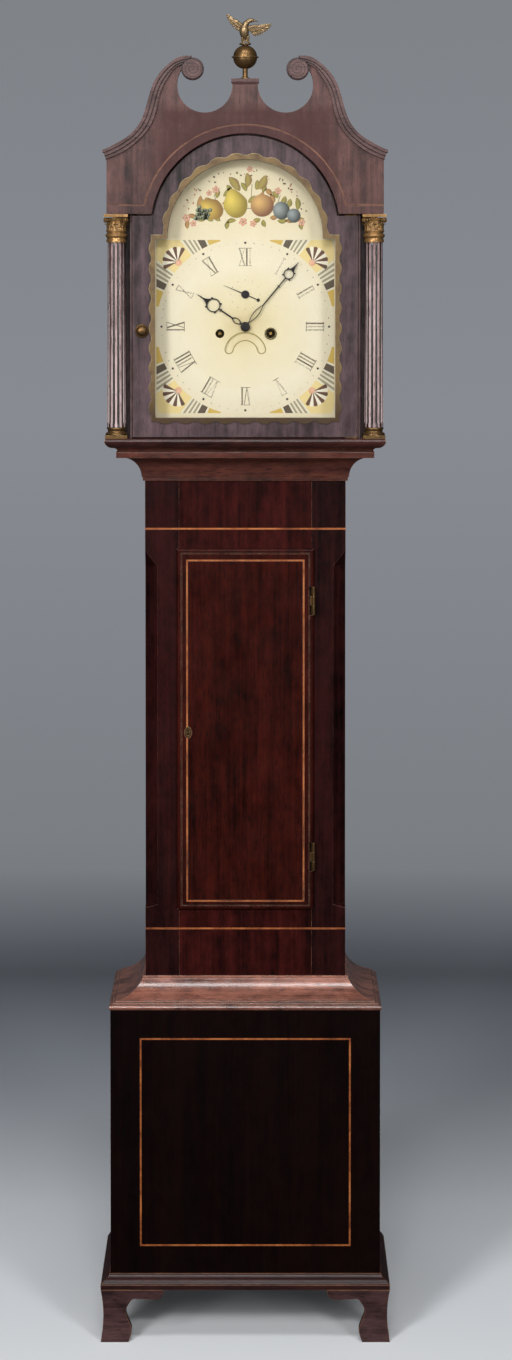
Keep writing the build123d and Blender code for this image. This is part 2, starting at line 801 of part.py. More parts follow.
with BuildPart() as column_bases:
    with Locations((column_x, column_y, hood_floor + 3)):
        Box(39, 39, 6)
    with BuildSketch(Plane(origin=(column_x, column_y, 0), x_dir=(1, 0, 0), z_dir=(0, -1, 0))):
        with BuildLine():
            Polyline((0, hood_floor + 6), (17.5, hood_floor + 6))
            ThreePointArc((17.5, hood_floor + 6), (19.4, hood_floor + 8), (17.5, hood_floor + 10))
            ThreePointArc((17.5, hood_floor + 10), (15.4, hood_floor + 12.5), (16, hood_floor + 15.5))
            ThreePointArc((16, hood_floor + 15.5), (17.2, hood_floor + 17.5), (15.5, shaft_low))
            Polyline((15.5, shaft_low), (0, shaft_low), (0, hood_floor + 6))
        make_face()
    revolve(axis=Axis((column_x, column_y, 0), (0, 0, 1)))
    mirror(about=Plane.YZ)
write(column_bases.part, "column_bases")

# Hood door: an arched frame between the columns that turns on two brass pivots at its right.
hood_door_front = -104.5
hood_door_thick = 18.0
hood_door_half = 198.0
hood_door_low = 1600.5
hood_door_shoulder = 1989.5
hood_door_arch = 162.5
pane_half = 164.0
pane_low = 1629.0
pane_arch = 143.0


def pane_outline(grow):
    """The arched outline of the door's pane, made larger all round by grow."""
    with Locations((0, (pane_low - grow + dial_high + grow) / 2)):
        Rectangle(2 * (pane_half + grow), dial_high - pane_low + 2 * grow)
    with Locations((0, dial_arch_z)):
        Circle(pane_arch + grow)


with BuildPart() as hood_door_frame:
    with BuildSketch(facing(hood_door_front + hood_door_thick)):
        with Locations((0, (hood_door_low + hood_door_shoulder) / 2)):
            Rectangle(2 * hood_door_half, hood_door_shoulder - hood_door_low)
        with Locations((0, arch_z)):
            Circle(hood_door_arch)
    extrude(amount=hood_door_thick)
    with BuildSketch(facing(hood_door_front + hood_door_thick)) as pane_hole:
        pane_outline(0)
    extrude(amount=hood_door_thick, mode=Mode.SUBTRACT)
    rod((knob_x, hood_door_front + hood_door_thick / 2, knob_z), 3.05, hood_door_thick + 2, Mode.SUBTRACT)
write(hood_door_frame.part, "hood_door_frame")

with BuildPart() as hood_door_glass:
    with BuildSketch(facing(hood_door_front + 9)):
        pane_outline(0)
    extrude(amount=2)
write(hood_door_glass.part, "hood_door_glass")

# Gilt slip: a thin strip round the pane, straight inside and scalloped outside.
slip_thick = 1.4
slip_in = 6.0
scallop_radius = 22.0
scallop_out = 5.5
scallop_pitch = 35.0
with BuildPart() as hood_door_slip:
    with BuildSketch(facing(hood_door_front)):
        pane_outline(1.5)
        scallop_back = scallop_radius - scallop_out
        for side in (-1, 1):
            with Locations((side * (pane_half - scallop_back), (pane_low + dial_high) / 2)):
                with GridLocations(1, scallop_pitch, 1, 9):
                    Circle(scallop_radius)
        with Locations((0, pane_low + scallop_back)):
            with GridLocations(scallop_pitch, 1, 9, 1):
                Circle(scallop_radius)
        with Locations((0, dial_arch_z)):
            with PolarLocations(pane_arch - scallop_back, 13, start_angle=0, angular_range=180):
                Circle(scallop_radius)
        pane_outline(-slip_in)
    with BuildSketch(facing(hood_door_front)) as slip_hole:
        pane_outline(-slip_in)
    extrude(hood_door_slip.pending_faces, amount=slip_thick)
    extrude(slip_hole.sketch, amount=slip_thick + 1, both=True, mode=Mode.SUBTRACT)
write(hood_door_slip.part, "hood_door_slip")

# Door pivots: a brass plate and pin at the foot and the shoulder of the door.
pivot_plate_x = (pivot_x - 16, pivot_x + 4.5)
pivot_plate_y = (pivot_y - 1.5, pivot_y + 14)
with BuildPart() as hood_door_pivots:
    board(pivot_plate_x, pivot_plate_y, (hood_floor + 0.5, hood_door_low))
    with Locations((pivot_x, pivot_y, hood_floor - 2)):
        Cylinder(pivot_radius, 9)
    board(pivot_plate_x, pivot_plate_y, (hood_door_shoulder, hood_door_shoulder + 2))
    with Locations((pivot_x, pivot_y, hood_door_shoulder + 5)):
        Cylinder(pivot_radius, 8)
write(hood_door_pivots.part, "hood_door_pivots")

# Knob: a turned brass rose and button on a spindle, with a catch behind the door that turns
# into a notch beside it.
catch_y = hood_door_front + hood_door_thick + 0.3
with BuildPart() as hood_door_knob:
    with BuildSketch(Plane(origin=(knob_x, 0, knob_z), x_dir=(1, 0, 0), z_dir=(0, 0, 1))):
        with BuildLine():
            face = hood_door_front
            Polyline((0, face), (12, face), (12, face - 1.5))
            ThreePointArc((12, face - 1.5), (10.8, face - 2.8), (9, face - 2.2))
            Polyline((9, face - 2.2), (8, face - 1.6), (5, face - 2.6), (4.6, face - 7))
            ThreePointArc((4.6, face - 7), (7.8, face - 9.5), (5.5, face - 13))
            Spline((5.5, face - 13), (3.2, face - 13.6), (0, face - 13.9), tangents=((-1, -0.4), (-1, 0)))
            Line((0, face - 13.9), (0, face))
        make_face()
    revolve(axis=Axis((knob_x, 0, knob_z), (0, 1, 0)))
    rod((knob_x, (hood_door_front + catch_y) / 2, knob_z), 3.0, catch_y - hood_door_front)
    board((knob_x - 4, knob_x + 4), (catch_y, catch_y + 1.4), (knob_z - 20, knob_z + 5))
write(hood_door_knob.part, "hood_door_knob")

# Seat board on the cheeks, with a slot under each barrel for its line.
seat_thick = 18.0
line_y = 6.0
gut_radius = 0.9
barrel_radius = 22.0
with BuildPart() as seat_board:
    board((-trunk_half, trunk_half), (plate_front - 2, pendulum_y - 8), (seat_low, seat_low + seat_thick))
    for side in (-1, 1):
        slot_x = side * (winding_x + barrel_radius)
        board(
            (slot_x - 5, slot_x + 5),
            (line_y - 20, line_y + 20),
            (seat_low, seat_low + seat_thick),
            mode=Mode.SUBTRACT,
        )
write(seat_board.part, "seat_board")

# Dial: an iron plate with an arched top, its holes, and the four feet that hold it to the
# movement. The right winding hole has a raised collet.
sheet = 1.6
plate_low = seat_low + seat_thick
plate_high = plate_low + 195.0
plate_half = 88.0
with BuildPart() as dial_plate:
    with BuildSketch(facing(dial_front + sheet)):
        with Locations((0, (dial_low + dial_high) / 2)):
            Rectangle(2 * dial_half, dial_high - dial_low)
        with Locations((0, dial_arch_z)):
            Circle(dial_arch_radius)
        with Locations((0, dial_z)):
            Circle(6, mode=Mode.SUBTRACT)
        with Locations((0, seconds_z)):
            Circle(2.2, mode=Mode.SUBTRACT)
        for side in (-1, 1):
            with Locations((side * winding_x, winding_z)):
                Circle(8, mode=Mode.SUBTRACT)
        with BuildLine():
            CenterArc((0, calendar_z), 35.5, 12, 156)
            CenterArc((0, calendar_z), 23.5, 12, 156)
            for angle in (12, 168):
                ux = cos(radians(angle))
                uz = sin(radians(angle))
                side = 1 if angle < 90 else -1
                ThreePointArc(
                    (35.5 * ux, calendar_z + 35.5 * uz),
                    (29.5 * ux + side * 6 * uz, calendar_z + 29.5 * uz - side * 6 * ux),
                    (23.5 * ux, calendar_z + 23.5 * uz),
                )
        make_face(mode=Mode.SUBTRACT)
    extrude(amount=sheet)
    with BuildSketch(facing(dial_front)):
        with Locations((winding_x, winding_z)):
            Circle(10.5)
            Circle(8, mode=Mode.SUBTRACT)
    extrude(amount=1.2)
    for foot_z in (plate_low + 12, plate_high - 12):
        for foot_x in (-60, 60):
            foot_long = plate_front - dial_front - sheet
            rod((foot_x, plate_front - foot_long / 2, foot_z), 3.5, foot_long)
write(dial_plate.part, "dial_plate")

# Movement frame: two brass plates, the rear one with the cock that hangs the pendulum, held
# apart by four pillars.
rear_plate = plate_front + plate_thick + plate_gap
rear_face = rear_plate + plate_thick
third_x = 20.0
third_z = dial_z + 28.6
minute_wheel_x = -19.8
minute_wheel_z = dial_z - 19.8
arbor_radius = 3.0
running_gap = 0.08
arbors = (
    (0, dial_z),
    (0, seconds_z),
    (third_x, third_z),
    (winding_x, winding_z),
    (-winding_x, winding_z),
    (0, pallet_z),
)
hammer_x = -78.0
hammer_z = plate_high - 30
cock_low = pallet_z + 4
bell_x = -30.0
bell_y = 46.0
with BuildPart() as movement_plates:
    for plate_y in (plate_front, rear_plate):
        board((-plate_half, plate_half), (plate_y, plate_y + plate_thick), (plate_low, plate_high))
    board((-12, 12), (rear_face, pendulum_y + 6), (cock_low, cock_low + 10))
    for arbor_x, arbor_z in arbors:
        rod((arbor_x, 0, arbor_z), arbor_radius + running_gap, 200, Mode.SUBTRACT)
    rod((0, (plate_front + dial_front + 2.5) / 2, calendar_z), 1.5, plate_front - dial_front - 2.5)
    rod((minute_wheel_x, plate_front - 9, minute_wheel_z), 1.5, 18)
    rod((hammer_x, rear_face + 4, hammer_z), 1.5, 8)
write(movement_plates.part, "movement_plates")

with BuildPart() as movement_pillars:
    for pillar_z in (plate_low + 8, plate_high - 8):
        for pillar_x in (-80, 80):
            rod((pillar_x, (plate_front + plate_thick + rear_plate) / 2, pillar_z), 5.5, plate_gap)
            rod((pillar_x, (plate_front + plate_thick + rear_plate) / 2, pillar_z), 7, 8)
write(movement_pillars.part, "movement_pillars")

# Bell on its stand, screwed to the rear plate.
bell_low = plate_high + 30
bell_radius = 36.0
with BuildPart() as bell:
    board((bell_x - 6, bell_x + 6), (rear_face, bell_y + 2), (plate_high - 45, plate_high - 25))
    with Locations((bell_x, bell_y, (plate_high - 45 + bell_low + 42) / 2)):
        Cylinder(2.5, bell_low + 42 - plate_high + 45)
    with BuildSketch(Plane(origin=(bell_x, bell_y, 0), x_dir=(1, 0, 0), z_dir=(0, -1, 0))):
        with BuildLine():
            ThreePointArc(
                (bell_radius, bell_low),
                (bell_radius * 0.78, bell_low + 24),
                (0, bell_low + 38),
            )
            ThreePointArc(
                (bell_radius - 2.5, bell_low),
                (bell_radius * 0.78 - 2.2, bell_low + 22),
                (0, bell_low + 35),
            )
            Line((bell_radius, bell_low), (bell_radius - 2.5, bell_low))
            Line((0, bell_low + 38), (0, bell_low + 35))
        make_face()
    revolve(axis=Axis((bell_x, bell_y, 0), (0, 0, 1)))
write(bell.part, "bell")

with BuildPart() as bell_hammer:
    rod((hammer_x, rear_face + 5, hammer_z), 5, 4)
    rod((hammer_x, rear_face + 5, hammer_z), 1.6, 6, Mode.SUBTRACT)
    board((hammer_x - 1.2, hammer_x + 1.2), (rear_face + 3, rear_face + 7), (hammer_z + 4.5, bell_low + 4))
    with Locations((hammer_x + 5.5, rear_face + 5, bell_low + 8)):
        Cylinder(5, 10, rotation=(0, 90, 0))
write(bell_hammer.part, "bell_hammer")


def wheel(centre, y, thick, radius, spokes, hub):
    """A crossed-out brass wheel: a rim, a hub and spokes, turning about Y."""
    rear = Plane(origin=(centre[0], y + thick, centre[1]), x_dir=(1, 0, 0), z_dir=(0, -1, 0))
    with BuildSketch(rear) as disc:
        Circle(radius)
        Circle(radius * 0.84, mode=Mode.SUBTRACT)
        Circle(hub)
        with PolarLocations(radius * 0.45, spokes):
            Rectangle(radius * 0.9, radius * 0.11 + 0.8)
    extrude(disc.sketch, amount=thick)


def arbor(centre, y_low, y_high, radius):
    """A steel arbor along Y between two depths."""
    rod((centre[0], (y_low + y_high) / 2, centre[1]), radius, y_high - y_low)


# Train from the centre wheel to the escape wheel. The arbors turn in the plates' holes.
centre_wheel_y = 31.0
third_wheel_y = -17.0
escape_wheel_y = 10.0
pallet_y = 8.0
centre_wheel_radius = 30.7
third_wheel_radius = 30.3
escape_radius = 17.0
with BuildPart() as centre_wheel:
    arbor((0, dial_z), plate_front - 10, rear_face, arbor_radius)
    wheel((0, dial_z), centre_wheel_y, 2, centre_wheel_radius, 4, 7)
    arbor((0, dial_z), centre_wheel_y - 7, centre_wheel_y - 1, 5.8)
write(centre_wheel.part, "centre_wheel")

with BuildPart() as third_wheel:
    arbor((third_x, third_z), plate_front, rear_face, arbor_radius)
    arbor((third_x, third_z), centre_wheel_y - 2, centre_wheel_y + 4, 3.8)
    wheel((third_x, third_z), third_wheel_y, 2, third_wheel_radius, 4, 7)
write(third_wheel.part, "third_wheel")

# Seconds hand: it rides on the front end of the escape wheel's arbor.
with BuildPart() as seconds_hand:
    arbor((0, seconds_z), plate_front, rear_face, arbor_radius)
    arbor((0, seconds_z), dial_front - 2.6, plate_front, 1.6)
    arbor((0, seconds_z), third_wheel_y - 2, third_wheel_y + 4, 4.0)
    wheel((0, seconds_z), escape_wheel_y, 2, escape_radius - 2, 4, 5)
    with BuildSketch(facing(escape_wheel_y + 2)):
        with Locations((0, seconds_z)):
            with PolarLocations(escape_radius - 2, 30):
                Rectangle(4, 0.9)
    extrude(amount=2)
    with BuildSketch(turned(dial_front - 1.2, seconds_z, seconds_angle)):
        Circle(7.2)
        with Locations((0, 22)):
            Trapezoid(2.2, 40, 88.6)
        with Locations((0, -13)):
            Rectangle(1.5, 22)
        with Locations((0, -25)):
            Circle(3.0)
    extrude(amount=1.0)
write(seconds_hand.part, "seconds_hand")

# Anchor and crutch: the pallets straddle the escape wheel and the crutch's fork clasps the rod.
fork_z = plate_low + 75
rod_radius = 2.5
with BuildPart() as anchor_crutch:
    arbor((0, pallet_z), plate_front, rear_face + 7, arbor_radius)
    with BuildSketch(facing(pallet_y + 6)):
        with BuildLine():
            span = escape_radius + 1.9
            ThreePointArc(
                (-span * sin(1.0), seconds_z + span * cos(1.0)),
                (0, seconds_z + span),
                (span * sin(1.0), seconds_z + span * cos(1.0)),
            )
            Polyline(
                (span * sin(1.0), seconds_z + span * cos(1.0)),
                (span * sin(1.0) + 3, seconds_z + span * cos(1.0) + 2),
                (5, pallet_z + 5),
                (-5, pallet_z + 5),
                (-span * sin(1.0) - 3, seconds_z + span * cos(1.0) + 2),
                (-span * sin(1.0), seconds_z + span * cos(1.0)),
            )
        make_face()
    extrude(amount=6)
    board((-2, 2), (rear_face + 4, rear_face + 7), (fork_z, pallet_z))
    for side in (-1, 1):
        x_inner = side * (rod_radius + 0.5)
        x_outer = side * (rod_radius + 2.5)
        board(
            (min(x_inner, x_outer), max(x_inner, x_outer)),
            (rear_face + 4, pendulum_y + 5),
            (fork_z, fork_z + 5),
        )
    board((-rod_radius - 2.5, rod_radius + 2.5), (rear_face + 4, rear_face + 7), (fork_z, fork_z + 5))
write(anchor_crutch.part, "anchor_crutch")

# Pendulum: a suspension spring, a long rod with a rating nut, and a lens-shaped bob.
bob_radius = 52.0
bob_half_thick = 13.0
with BuildPart() as pendulum_rod:
    board((-4, 4), (pendulum_y - 0.3, pendulum_y + 0.3), (pallet_z - 45, pallet_z + 3.6))
    board((-5, 5), (pendulum_y - 2.5, pendulum_y + 2.5), (pallet_z - 52, pallet_z - 40))
    rod_low = bob_z - bob_radius - 22
    with Locations((0, pendulum_y, (rod_low + pallet_z - 45) / 2)):
        Cylinder(rod_radius, pallet_z - 45 - rod_low)
    with Locations((0, pendulum_y, bob_z - bob_radius - 4.5)):
        Cylinder(7, 6)
write(pendulum_rod.part, "pendulum_rod")

with BuildPart() as pendulum_bob:
    with BuildSketch(Plane(origin=(0, pendulum_y, bob_z), x_dir=(1, 0, 0), z_dir=(0, 0, 1))):
        with BuildLine():
            Line((0, -bob_half_thick), (0, bob_half_thick))
            ThreePointArc((0, bob_half_thick), (bob_radius * 0.72, bob_half_thick * 0.62), (bob_radius, 1))
            Line((bob_radius, 1), (bob_radius, -1))
            ThreePointArc((bob_radius, -1), (bob_radius * 0.72, -bob_half_thick * 0.62), (0, -bob_half_thick))
        make_face()
    revolve(axis=Axis((0, pendulum_y, bob_z), (0, 1, 0)))
    with Locations((0, pendulum_y, bob_z)):
        Cylinder(rod_radius, 2 * bob_radius + 10, mode=Mode.SUBTRACT)
write(pendulum_bob.part, "pendulum_bob")

# Hands: thin steel, pierced near the boss and again near the tip.


def hand(plane, length, boss, ring_at, ring_radius, stem_half):
    """The outline of one hand on a plane whose upright axis points to the tip."""
    loop_low = boss + 3
    loop_high = ring_at * 0.42
    loop_mid = (loop_low + loop_high) / 2
    tip_low = ring_at + ring_radius - 4
    wing = ring_radius * 0.72
    with BuildSketch(plane) as outline:
        Circle(boss)
        with Locations((0, ring_at / 2)):
            Rectangle(2 * stem_half, ring_at - ring_radius)
        for half, shrink, mode in ((5.0, 0, Mode.ADD), (3.4, 3, Mode.SUBTRACT)):
            with BuildLine():
                ThreePointArc((0, loop_low - 3 + shrink), (half, loop_mid), (0, loop_high - shrink))
                ThreePointArc((0, loop_low - 3 + shrink), (-half, loop_mid), (0, loop_high - shrink))
            make_face(mode=mode)
        with Locations((0, ring_at)):
            Circle(ring_radius)
            Circle(ring_radius - 2.0, mode=Mode.SUBTRACT)
            with PolarLocations(ring_radius + 0.8, 4, start_angle=45):
                Circle(1.7)
        with Locations((0, loop_high + (ring_at - loop_high) * 0.6)):
            Rectangle(6, 1.6)
        with BuildLine():
            Polyline(
                (wing, tip_low),
                (wing * 0.45, tip_low + 6),
                (1.5, tip_low + 12),
                (0, length),
                (-1.5, tip_low + 12),
                (-wing * 0.45, tip_low + 6),
                (-wing, tip_low),
                (0, tip_low + 4),
                close=True,
            )
        make_face()
    return outline.sketch


hand_thick = 0.9
cannon_radius = 4.0
hour_y = dial_front - 4.0
minute_y = dial_front - 6.6
with BuildPart() as hour_hand:
    hour_plane = turned(hour_y + hand_thick, dial_z, hour_angle)
    extrude(hand(hour_plane, 105, 8.6, 68, 12.5, 1.3), amount=hand_thick)
    arbor((0, dial_z), hour_y, plate_front - 18, 5.2)
    wheel((0, dial_z), plate_front - 20, 2, 25.6, 4, 8)
    rod((0, (hour_y + plate_front) / 2, dial_z), cannon_radius + running_gap, 60, Mode.SUBTRACT)
write(hour_hand.part, "hour_hand")

with BuildPart() as minute_hand:
    minute_plane = turned(minute_y + hand_thick, dial_z, minute_angle)
    extrude(hand(minute_plane, 150, 8.6, 121, 9.5, 1.2), amount=hand_thick)
    with BuildSketch(Plane(origin=(0, 0, dial_z), x_dir=(1, 0, 0), z_dir=(0, 0, 1))):
        with BuildLine():
            Polyline((0, minute_y + 0.2), (8.0, minute_y + 0.2), (8.0, minute_y - 0.6))
            ThreePointArc((8.0, minute_y - 0.6), (7.2, minute_y - 2.0), (5.0, minute_y - 2.6))
            Polyline((5.0, minute_y - 2.6), (0, minute_y - 2.6), (0, minute_y + 0.2))
        make_face()
    revolve(axis=Axis((0, 0, dial_z), (0, 1, 0)))
    arbor((0, dial_z), minute_y + 0.6, plate_front - 12, cannon_radius)
    arbor((0, dial_z), plate_front - 15, plate_front - 12, 13.8)
write(minute_hand.part, "minute_hand")

with BuildPart() as minute_wheel:
    arbor((minute_wheel_x, minute_wheel_z), plate_front - 15, plate_front - 12, 13.8)
    arbor((minute_wheel_x, minute_wheel_z), plate_front - 20.2, plate_front - 15, 2.1)
    rod((minute_wheel_x, plate_front - 15, minute_wheel_z), 1.6, 20, Mode.SUBTRACT)
write(minute_wheel.part, "minute_wheel")

# Calendar disc behind the curved opening, on a stud of the front plate.
with BuildPart() as calendar_disc:
    rod((0, dial_front + 3.0, calendar_z), 39.0, 0.8)
    rod((0, dial_front + 4.0, calendar_z), 4.0, 2.0)
    rod((0, dial_front + 4.0, calendar_z), 1.6, 8, Mode.SUBTRACT)
write(calendar_disc.part, "calendar_disc")

# Barrels: a grooved drum, its great wheel, and an arbor whose square front end takes the key.
drum_low = -12.0
drum_high = 24.0
drum_core = barrel_radius - gut_radius - 0.3
great_radius = 40.5


def winding_barrel(side):
    """The barrel on the right (side 1) or left (side -1) of the movement."""
    centre = (side * winding_x, winding_z)
    arbor(centre, plate_front, rear_face, arbor_radius)
    arbor(centre, plate_front - 30, plate_front, arbor_radius)
    with Locations((centre[0], plate_front - 33, centre[1])):
        Box(4.2, 9, 4.2)
    arbor(centre, drum_low, drum_high, drum_core)
    for groove_y in range(8):
        with Locations(Location((centre[0], drum_low + 4 + groove_y * 4, centre[1]), (90, 0, 0))):
            Torus(drum_core + 0.6, 1.0, mode=Mode.SUBTRACT)
    arbor(centre, drum_low - 1.5, drum_low, barrel_radius + 1.5)
    arbor(centre, drum_high, drum_high + 2, 14)
    wheel(centre, drum_high + 2, 2.5, great_radius, 4, 10)


with BuildPart() as going_barrel:
    winding_barrel(1)
write(going_barrel.part, "going_barrel")

with BuildPart() as strike_barrel:
    winding_barrel(-1)
write(strike_barrel.part, "strike_barrel")

# Weights: an iron can hung from a pulley in a stirrup.
pulley_z = {"going": 1405.0, "strike": 1372.0}
can_radius = 29.0
can_tall = 170.0


def hung_weight(side, wheel_z):
    """A weight under its pulley, on the right (side 1) or left (side -1)."""
    x = side * winding_x
    can_high = wheel_z - 52
    with Locations((x, line_y, can_high - can_tall / 2)):
        Cylinder(can_radius, can_tall)
    with Locations((x, line_y, can_high + 8)):
        Cylinder(3, 16)
    board((x - 4, x + 4), (line_y - 8, line_y + 8), (can_high + 16, can_high + 19))
    for strap_y in (-8, 6.5):
        board((x - 4, x + 4), (line_y + strap_y, line_y + strap_y + 1.5), (can_high + 16, wheel_z + 5))
    rod((x, line_y, wheel_z), 2.5, 16)
    rod((x, line_y, wheel_z), barrel_radius - gut_radius - 0.3, 10)
    for flange_y in (-3.2, 3.2):
        rod((x, line_y + flange_y, wheel_z), barrel_radius + 1.6, 3.6)


with BuildPart() as going_weight:
    hung_weight(1, pulley_z["going"])
write(going_weight.part, "going_weight")

with BuildPart() as strike_weight:
    hung_weight(-1, pulley_z["strike"])
write(strike_weight.part, "strike_weight")

# Weight lines: two straight falls to each pulley, and above the seat the run to the barrel.


def line_fall(x, low, high):
    """One straight length of gut line."""
    with Locations((x, line_y, (low + high) / 2)):
        Cylinder(gut_radius, high - low)


with BuildPart() as going_line:
    for offset in (-barrel_radius, barrel_radius):
        line_fall(winding_x + offset, pulley_z["going"], seat_low)
write(going_line.part, "going_line")

with BuildPart() as strike_line:
    for offset in (-barrel_radius, barrel_radius):
        line_fall(-winding_x + offset, pulley_z["strike"], seat_low)
write(strike_line.part, "strike_line")

with BuildPart() as line_tops:
    for side in (-1, 1):
        line_fall(side * (winding_x + barrel_radius), seat_low, winding_z)
write(line_tops.part, "line_tops")
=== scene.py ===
import math
import random

import bmesh
import bpy
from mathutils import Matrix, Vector


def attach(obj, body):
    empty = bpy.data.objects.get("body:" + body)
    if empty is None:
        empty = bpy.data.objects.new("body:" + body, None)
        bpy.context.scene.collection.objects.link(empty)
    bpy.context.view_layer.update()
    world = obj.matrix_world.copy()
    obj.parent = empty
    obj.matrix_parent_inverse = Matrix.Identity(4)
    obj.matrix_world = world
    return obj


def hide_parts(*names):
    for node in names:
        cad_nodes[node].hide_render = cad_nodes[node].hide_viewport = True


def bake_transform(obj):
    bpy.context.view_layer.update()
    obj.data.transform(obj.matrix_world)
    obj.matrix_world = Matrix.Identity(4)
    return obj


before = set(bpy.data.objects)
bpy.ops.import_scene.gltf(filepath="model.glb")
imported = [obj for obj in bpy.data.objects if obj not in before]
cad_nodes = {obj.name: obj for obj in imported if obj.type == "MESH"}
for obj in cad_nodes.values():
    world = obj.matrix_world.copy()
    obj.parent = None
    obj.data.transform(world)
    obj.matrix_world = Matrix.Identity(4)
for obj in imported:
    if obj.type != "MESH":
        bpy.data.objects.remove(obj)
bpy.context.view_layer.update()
scene = bpy.context.scene
scene.view_settings.view_transform = "Standard"

# Camera: a long lens held near the height of the dial, shifted down to take in the feet.
camera_data = bpy.data.cameras.new("camera")
camera_data.sensor_fit = "VERTICAL"
camera_data.sensor_height = 36.0
camera_data.lens = 76.49
camera_data.shift_y = -0.28
camera_data.clip_end = 60.0
camera = bpy.data.objects.new("camera", camera_data)
camera.location = (0.019, -5.18, 1.985)
camera.rotation_euler = (math.radians(90.0 - 1.6), 0.0, 0.0)
scene.collection.objects.link(camera)
scene.camera = camera

# Floor and backdrop: one pale sheet that runs back from the feet and curves up behind. Its floor has
# a painted pool of light and its wall glows with painted light. Only the camera sees its colours;
# other rays meet a dim room, and from behind it isn't there.


def shade(red, green, blue):
    """A display colour, 0 to 255 in each part, as the linear colour that a shader takes."""
    linear = []
    for part in (red, green, blue):
        part = part / 255.0
        linear.append(part / 12.92 if part <= 0.04045 else ((part + 0.055) / 1.055) ** 2.4)
    return (*linear, 1.0)


def add(tree, kind, inputs=None, **settings):
    """A shader node with its settings, and its inputs given as values or as sockets to link."""
    made = tree.nodes.new(kind)
    for key, value in settings.items():
        setattr(made, key, value)
    for key, value in (inputs or {}).items():
        if isinstance(value, bpy.types.NodeSocket):
            tree.links.new(value, made.inputs[key])
        else:
            made.inputs[key].default_value = value
    return made


def ramp(tree, factor, stops):
    """A colour ramp through the given (place, colour) stops."""
    made = add(tree, "ShaderNodeValToRGB", {"Fac": factor})
    elements = made.color_ramp.elements
    while len(elements) < len(stops):
        elements.new(0.5)
    for element, (place, tint) in zip(elements, stops):
        element.position = place
        element.color = tint
    return made.outputs["Color"]


def object_place(tree):
    """The object's own coordinates, in metres."""
    return add(tree, "ShaderNodeTexCoord").outputs["Object"]


def axes(tree):
    """The object's own coordinates taken apart, as X, Y and Z."""
    return add(tree, "ShaderNodeSeparateXYZ", {"Vector": object_place(tree)}).outputs


def calculate(tree, operation, one, two=0.0):
    """The result of a calculation on one or two values or sockets."""
    return add(tree, "ShaderNodeMath", {0: one, 1: two}, operation=operation).outputs[0]


def spread(tree, value, low, high, to_low=0.0, to_high=1.0):
    """The value, with low to high (either way round) spread over to_low to to_high."""
    inputs = {"Value": value, "From Min": low, "From Max": high, "To Min": to_low, "To Max": to_high}
    return add(tree, "ShaderNodeMapRange", inputs).outputs["Result"]


def mix_looks(tree, factor, one, two):
    """The look of one turned into that of two as far as the factor says."""
    return add(tree, "ShaderNodeMixShader", {0: factor, 1: one, 2: two}).outputs[0]


def blank_material(name):
    """A material with nothing in it but its output."""
    material = bpy.data.materials.new(name)
    material.use_nodes = True
    material.node_tree.nodes.clear()
    out = material.node_tree.nodes.new("ShaderNodeOutputMaterial")
    return material, material.node_tree, out


sheet_front = -6.0
sheet_back = 2.9
sheet_bend = 0.5
sheet_half = 7.0
sheet_high = 6.0
sheet = bmesh.new()
ends = [sheet.verts.new((x, sheet_front, 0.0)) for x in (-sheet_half, sheet_half)]
edge = sheet.edges.new(ends)
path = [(sheet_back - sheet_bend, 0.0)]
bend_steps = 12
for step in range(1, bend_steps + 1):
    turn = math.radians(90.0 * step / bend_steps)
    path.append((sheet_back - sheet_bend + sheet_bend * math.sin(turn), sheet_bend * (1 - math.cos(turn))))
path.append((sheet_back, sheet_high))
for y, z in path:
    grown = bmesh.ops.extrude_edge_only(sheet, edges=[edge])["geom"]
    moved = [part for part in grown if isinstance(part, bmesh.types.BMVert)]
    for vert in moved:
        vert.co.y = y
        vert.co.z = z
    edge = next(part for part in grown if isinstance(part, bmesh.types.BMEdge))
bmesh.ops.recalc_face_normals(sheet, faces=sheet.faces)
sheet.faces.ensure_lookup_table()
if sheet.faces[0].normal.z < 0:
    bmesh.ops.reverse_faces(sheet, faces=sheet.faces)
sheet_mesh = bpy.data.meshes.new("backdrop")
sheet.to_mesh(sheet_mesh)
sheet.free()
for polygon in sheet_mesh.polygons:
    polygon.use_smooth = True
backdrop = bpy.data.objects.new("backdrop", sheet_mesh)
scene.collection.objects.link(backdrop)

backdrop_paint, tree, out = blank_material("backdrop_paint")
place = axes(tree)
# Painted light: the floor is brightest round the clock and darker further forward and further back.
floor_painted_light = ramp(
    tree,
    spread(tree, place["Y"], -2.0, 2.6),
    [
        (0.0, shade(132, 134, 138)),
        (0.2, shade(176, 179, 183)),
        (0.32, shade(248, 250, 252)),
        (0.565, shade(242, 246, 252)),
        (0.784, shade(180, 186, 196)),
        (0.944, shade(128, 133, 141)),
    ],
)
# Painted light: the wall glows, brightest at middle height and darker towards the floor and the top.
wall_painted_light = ramp(
    tree,
    spread(tree, place["Z"], 0.0, 3.2),
    [
        (0.0, shade(112, 117, 122)),
        (0.08, shade(123, 127, 132)),
        (0.45, shade(136, 139, 146)),
        (1.0, shade(122, 127, 131)),
    ],
)
floor_look = add(tree, "ShaderNodeBsdfDiffuse", {"Color": floor_painted_light}).outputs[0]
glowing_wall = add(tree, "ShaderNodeEmission", {"Color": wall_painted_light, "Strength": 1.0}).outputs[0]
seen = mix_looks(tree, spread(tree, place["Z"], 0.02, 0.18), floor_look, glowing_wall)
dim_room = add(tree, "ShaderNodeBsdfDiffuse", {"Color": shade(84, 86, 90)}).outputs[0]
ray = add(tree, "ShaderNodeLightPath").outputs
direct = calculate(tree, "MAXIMUM", ray["Is Camera Ray"], ray["Is Transmission Ray"])
front_look = mix_looks(tree, direct, dim_room, seen)
from_behind = add(tree, "ShaderNodeNewGeometry").outputs["Backfacing"]
unseen = add(tree, "ShaderNodeBsdfTransparent").outputs[0]
